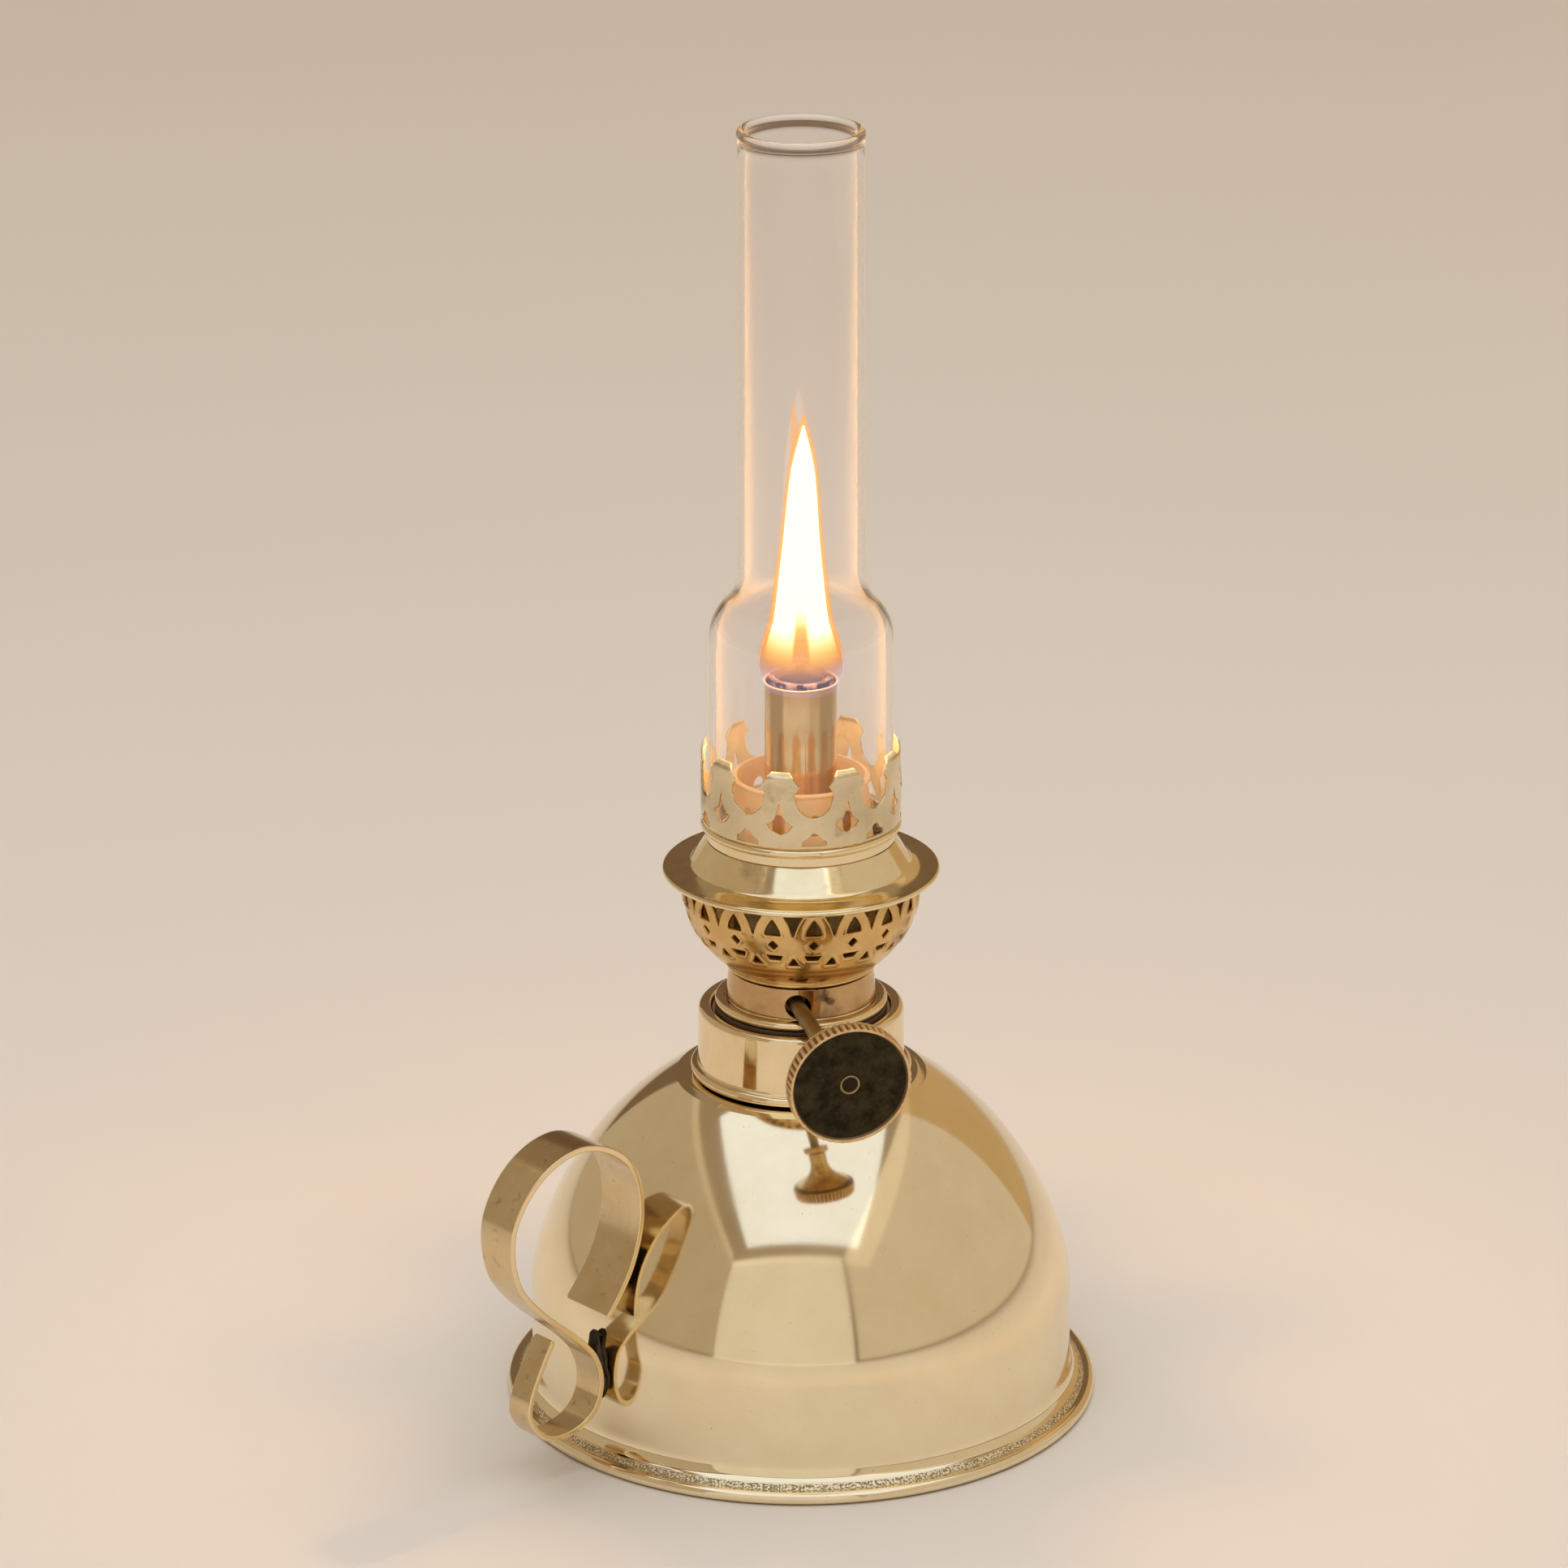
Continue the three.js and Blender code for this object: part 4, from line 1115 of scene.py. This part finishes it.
def knob():
    radius, face, recess = KNOB["radius"], KNOB["face"], KNOB["recess"]
    back = face - KNOB["thickness"]
    bore = 1.68
    across_dish = np.linspace(recess - 0.35, bore + 0.35, 16)
    dish = [(r, face - 0.62 - 0.22 * (1 - (r / recess) ** 2)) for r in across_dish]
    outline = [
        (bore, back),
        *rounded([(8, back), (radius, back, 0.35), (radius, back + 1, 0.1)], 6, False)[1:],
        *[(radius, z) for z in np.linspace(back + 0.75, face - 0.75, 6)],
        *rounded([(radius, face - 0.7), (radius, face, 0.42), (recess, face)], 6, False)[1:-1],
        *bend((recess + 0.22, face), (recess, face), (recess - 0.05, face - 0.3), 4),
        *bend((recess - 0.08, face - 0.45), (recess - 0.12, face - 0.62), (recess - 0.3, face - 0.62), 4),
        *dish,
        (bore, face - 0.75),
    ]

    def knurl(r, z, azimuth):
        on_rim = smoothstep(r, radius - 0.5, radius - 0.1) * smoothstep(z, back, back + 0.4)
        on_rim *= 1 - smoothstep(z, face - 0.35, face)
        wave = np.abs(((azimuth * KNOB["teeth"] / (2 * math.pi)) % 1) * 2 - 1)
        return r - 0.42 * on_rim * smoothstep(1 - wave, 0.35, 0.75)

    s = Shade("knob_brass")
    radial, depth = winder_place(s)
    on_face = s.between(radial, (recess - 0.05) * MM, (recess - 0.3) * MM)
    in_front = s.between(depth, (face - 2) * MM, (face - 1.6) * MM)
    dark = s.times(on_face, in_front)
    on_side = s.between(depth, (face - 0.35) * MM, (face - 0.6) * MM)
    groove = s.times(s.between(radial, (radius - 0.14) * MM, (radius - 0.32) * MM), on_side)
    mottle = s.noise(330, 7, rough=0.68)
    rim_colour = s.mix(s.between(mottle, 0.35, 0.7), (0.84, 0.60, 0.32), (0.62, 0.40, 0.18))
    rim_colour = s.mix(groove, rim_colour, (0.26, 0.15, 0.065))
    black = s.mix(s.between(mottle, 0.38, 0.66), (0.016, 0.013, 0.006), (0.060, 0.046, 0.022))
    rough = s.between(mottle, 0.3, 0.7, 0.34, 0.55)
    s.bump(mottle, 0.35, 6e-5)
    material = s.finish(Base_Color=s.mix(dark, rim_colour, black), Metallic=0.92, Roughness=rough)
    piece = winder_turned("knurled_knob", outline, material, KNOB["teeth"] * 12, knurl, crease=60)
    return piece, "winder", "knob_brass", ["knob_disc"]


def winder_pieces():
    shaft, back, face = 1.5, -19.1, KNOB["face"]
    ring = [(1.55, face - 0.86), (1.92, face - 0.84), *arc(1.78, face - 0.70, 0.14, 0, 180, 8)]
    end = [(shaft, face - 1.2), *ring, (1.5, face - 0.78), (0, face - 0.74)]
    outline = [(0, back), (shaft - 0.3, back), (shaft, back + 0.4), *end]
    s = Shade("winder_rod_brass")
    radial, depth = winder_place(s)
    grain = s.noise(1200, 4)
    mottle = s.noise(150, 6, rough=0.65)
    colour = s.mix(s.between(mottle, 0.32, 0.68), (0.46, 0.36, 0.19), (0.24, 0.17, 0.08))
    at_face = s.between(depth, (face - 1.4) * MM, (face - 1.2) * MM)
    colour = s.mix(at_face, colour, (0.42, 0.30, 0.15))
    middle = s.times(at_face, s.between(radial, 1.62 * MM, 1.5 * MM))
    colour = s.mix(middle, colour, (0.030, 0.022, 0.012))
    s.bump(s.plus(grain, mottle), 0.25, 3e-5)
    rod = s.finish(Base_Color=colour, Metallic=1.0, Roughness=s.between(mottle, 0.3, 0.7, 0.28, 0.45))
    winder_rod = winder_turned("winder_rod", outline, rod, 96)
    front = face - KNOB["thickness"] - 0.05
    nose_end = front - 13
    bore, nose, waist, flare = shaft + 0.15, 4.2, 3.0, 10.0
    collar_corners = [
        (bore, nose_end),
        (nose, nose_end, 0.4),
        (nose, nose_end + 1.8, 0.4),
        (waist, nose_end + 2.5, 0.4),
        (waist, nose_end + 4),
    ]
    bell = bend((waist, front - 7.5), (waist + 0.4, front - 2.6), (flare, front - 0.8), 28)
    outline = [*rounded(collar_corners, 6, False), *bell, (flare, front), (bore, front)]
    boss_brass = turned_brass("boss_brass", (0.74, 0.56, 0.30), (0.52, 0.36, 0.17), (0.16, 0.34), stain=0.5)
    boss = winder_turned("knob_boss", outline, boss_brass, 128)
    return [
        (winder_rod, "winder", "satin_brass", ["winder_shaft"]),
        (boss, "winder", "aged_brass", ["knob_hub"]),
    ]


# ---- chimney ----
def chimney():
    foot, bottom, top = reach("glass_chimney")
    wide, wall = foot, 1.4
    tube, lip = 12.05, 11.8
    shoulder, tube_base = 153.5, 167.0
    mid = ((wide + tube) / 2, (shoulder + tube_base) / 2)
    rise = top - 3.2 - tube_base
    outer = [
        (wide - 0.2, bottom + 0.3),
        *[(wide, z) for z in np.linspace(bottom + 1, shoulder - 1, 22)],
        *bend((wide, shoulder), (wide, shoulder + 4), mid, 18),
        *bend(mid, (tube, tube_base - 4), (tube, tube_base), 18)[1:],
        *[(tube + (lip - tube) * t, tube_base + t * rise) for t in np.linspace(0.03, 1, 34)],
    ]
    inner = [(r - wall, z) for r, z in outer][::-1]
    bead = arc(lip - wall / 2, top - 0.95, 0.95, -50, 230, 22)
    outline = [(wide - wall + 0.3, bottom), (wide - 0.5, bottom), *outer, *bead, *inner]

    def hand_made(radius, z, azimuth):
        near = math.exp(-(((z - 160) / 6) ** 2))
        return radius + near * (0.10 * np.sin(azimuth * 2 + 0.8) + 0.05 * np.sin(azimuth * 5))

    s = Shade("chimney_glass")
    rings = s.noise(60, 2, s.scaled(0.02, 0.02, 1))
    dust = s.noise(900, 4)
    s.bump(s.plus(s.times(rings, 0.6), s.noise(45, 2)), 0.10, 1.5e-4)
    glass = s.finish(
        Base_Color=(0.985, 0.975, 0.97),
        Roughness=s.between(dust, 0.62, 0.74, 0.0, 0.22),
        IOR=1.5,
        Transmission_Weight=1.0,
        Sheen_Weight=1.0,
        Sheen_Roughness=0.3,
        Sheen_Tint=(1.0, 0.84, 0.62),
    )
    lamp_rays = s.node("ShaderNodeLightPath").outputs["Is Shadow Ray"]
    s.surface(lamp_rays, s.shader, s.node("ShaderNodeBsdfTransparent"))
    piece = turned("chimney_glass", outline, glass, segments=224, shift=hand_made, crease=50, weighted=False)
    return piece, "chimney", "glass", ["glass_chimney"]


# ---- put the pieces in place ----
builders = [
    font, base_plate, collar, finger_handle, solder, washer, threaded_ring, neck, basket, cone,
    seat_ring, bead_ring, crown, draught_ring, sieve, outer_tube, wick, knob, chimney,
]
for piece, body, slot, nodes in [*(build() for build in builders), *winder_pieces()]:
    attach(piece, body)
    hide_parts(*nodes)
flame()

# The pieces hidden in the burner keep their CAD shape.
hidden_brass = dull_metal("hidden_brass", (0.58, 0.42, 0.20), (0.33, 0.21, 0.09), (0.28, 0.5))
for node in ("throat_bell", "air_tube", "wheel_cage", "shaft_gland", "star_wheel_front", "star_wheel_rear"):
    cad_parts[node].data.materials.clear()
    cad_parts[node].data.materials.append(hidden_brass)


# ---- studio: floor, panels of soft light, camera ----
def floor():
    size = 7.0
    mesh = bpy.data.meshes.new("floor")
    corners = [(-size, -size, 0), (size, -size, 0), (size, size, 0), (-size, size, 0)]
    mesh.from_pydata(corners, [], [(0, 1, 2, 3)])
    s = Shade("floor_paint")
    soft = s.noise(3, 2)
    s.finish(Base_Color=s.mix(soft, (0.74, 0.70, 0.645), (0.77, 0.73, 0.675)), Roughness=0.55)
    mesh.materials.append(s.material)
    ground = bpy.data.objects.new("floor", mesh)
    bpy.context.scene.collection.objects.link(ground)


def panel(name, corner, across, up, radiance, lights_floor=True):
    """A soft light the size of a sheet: it shines away from across x up, with the given radiance.

    Without lights_floor it only shows as a reflection.
    """
    corner, across, up = Vector(corner), Vector(across), Vector(up)
    light = bpy.data.lights.new(name, "AREA")
    light.shape = "RECTANGLE"
    light.size, light.size_y = across.length, up.length
    brightest = max(radiance)
    light.color = [c / brightest for c in radiance]
    light.energy = brightest * math.pi * across.length * up.length
    x, y = across.normalized(), up.normalized()
    z = x.cross(y)
    lamp = bpy.data.objects.new(name, light)
    turned_to = Matrix((x, y, z)).transposed().to_4x4()
    lamp.matrix_world = Matrix.Translation(corner + (across + up) / 2) @ turned_to
    lamp.visible_camera = False
    lamp.visible_transmission = False
    lamp.visible_diffuse = lights_floor
    bpy.context.scene.collection.objects.link(lamp)
    return lamp


def studio():
    panel("ceiling", (-0.95, -1.40, 1.15), (1.9, 0, 0), (0, 3.0, 0), (0.15, 0.13, 0.095))
    panel("roof_panel", (-0.62, -1.08, 1.1), (1.28, 0, 0), (0, 1.43, 0), (0.63, 0.75, 0.93))
    panel("front_panel", (-0.93, -1.30, 0.0), (1.45, 0, 0), (0, 0, 1.15), (0.57, 0.55, 0.49), False)
    panel("left_panel", (-0.87, 1.6, 0.03), (0, -2.8, 0), (0, 0, 1.12), (0.29, 0.255, 0.19), False)
    panel("right_panel", (0.55, -1.28, 0.03), (0.30, 1.9, 0), (0, 0, 1.12), (0.44, 0.40, 0.33), False)
    panel("back_panel", (0.85, 0.62, 0.03), (-0.5, 1.0, 0), (0, 0, 1.12), (0.34, 0.235, 0.11), False)
    fill = panel("floor_fill", (-2.5, -2.5, 2.6), (5, 0, 0), (0, 6.5, 0), (0.86, 0.80, 0.72))
    fill.visible_glossy = False
    world = bpy.data.worlds.new("studio")
    world.use_nodes = True
    back = world.node_tree.nodes["Background"]
    back.inputs["Color"].default_value = (0.30, 0.19, 0.11, 1)
    back.inputs["Strength"].default_value = 0.6
    bpy.context.scene.world = world
    bpy.context.scene.view_settings.view_transform = "Standard"


def flame_light():
    light = bpy.data.lights.new("flame_light", "POINT")
    light.color = (1.0, 0.58, 0.25)
    light.energy = 0.35
    light.shadow_soft_size = 0.005
    lamp = bpy.data.objects.new("flame_light", light)
    lamp.location = (0, 0, 0.16)
    lamp.visible_glossy = False
    lamp.visible_transmission = False
    bpy.context.scene.collection.objects.link(lamp)
    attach(lamp, "wick")


def camera():
    lens = bpy.data.cameras.new("camera")
    lens.sensor_width = 36
    lens.lens = 158.3
    lens.shift_x = -0.01087
    eye = bpy.data.objects.new("camera", lens)
    eye.location = (0, -1.232, 0.569)
    eye.rotation_euler = (math.radians(90 - 19.86), 0, 0)
    bpy.context.scene.collection.objects.link(eye)
    bpy.context.scene.camera = eye


floor()
studio()
flame_light()
camera()
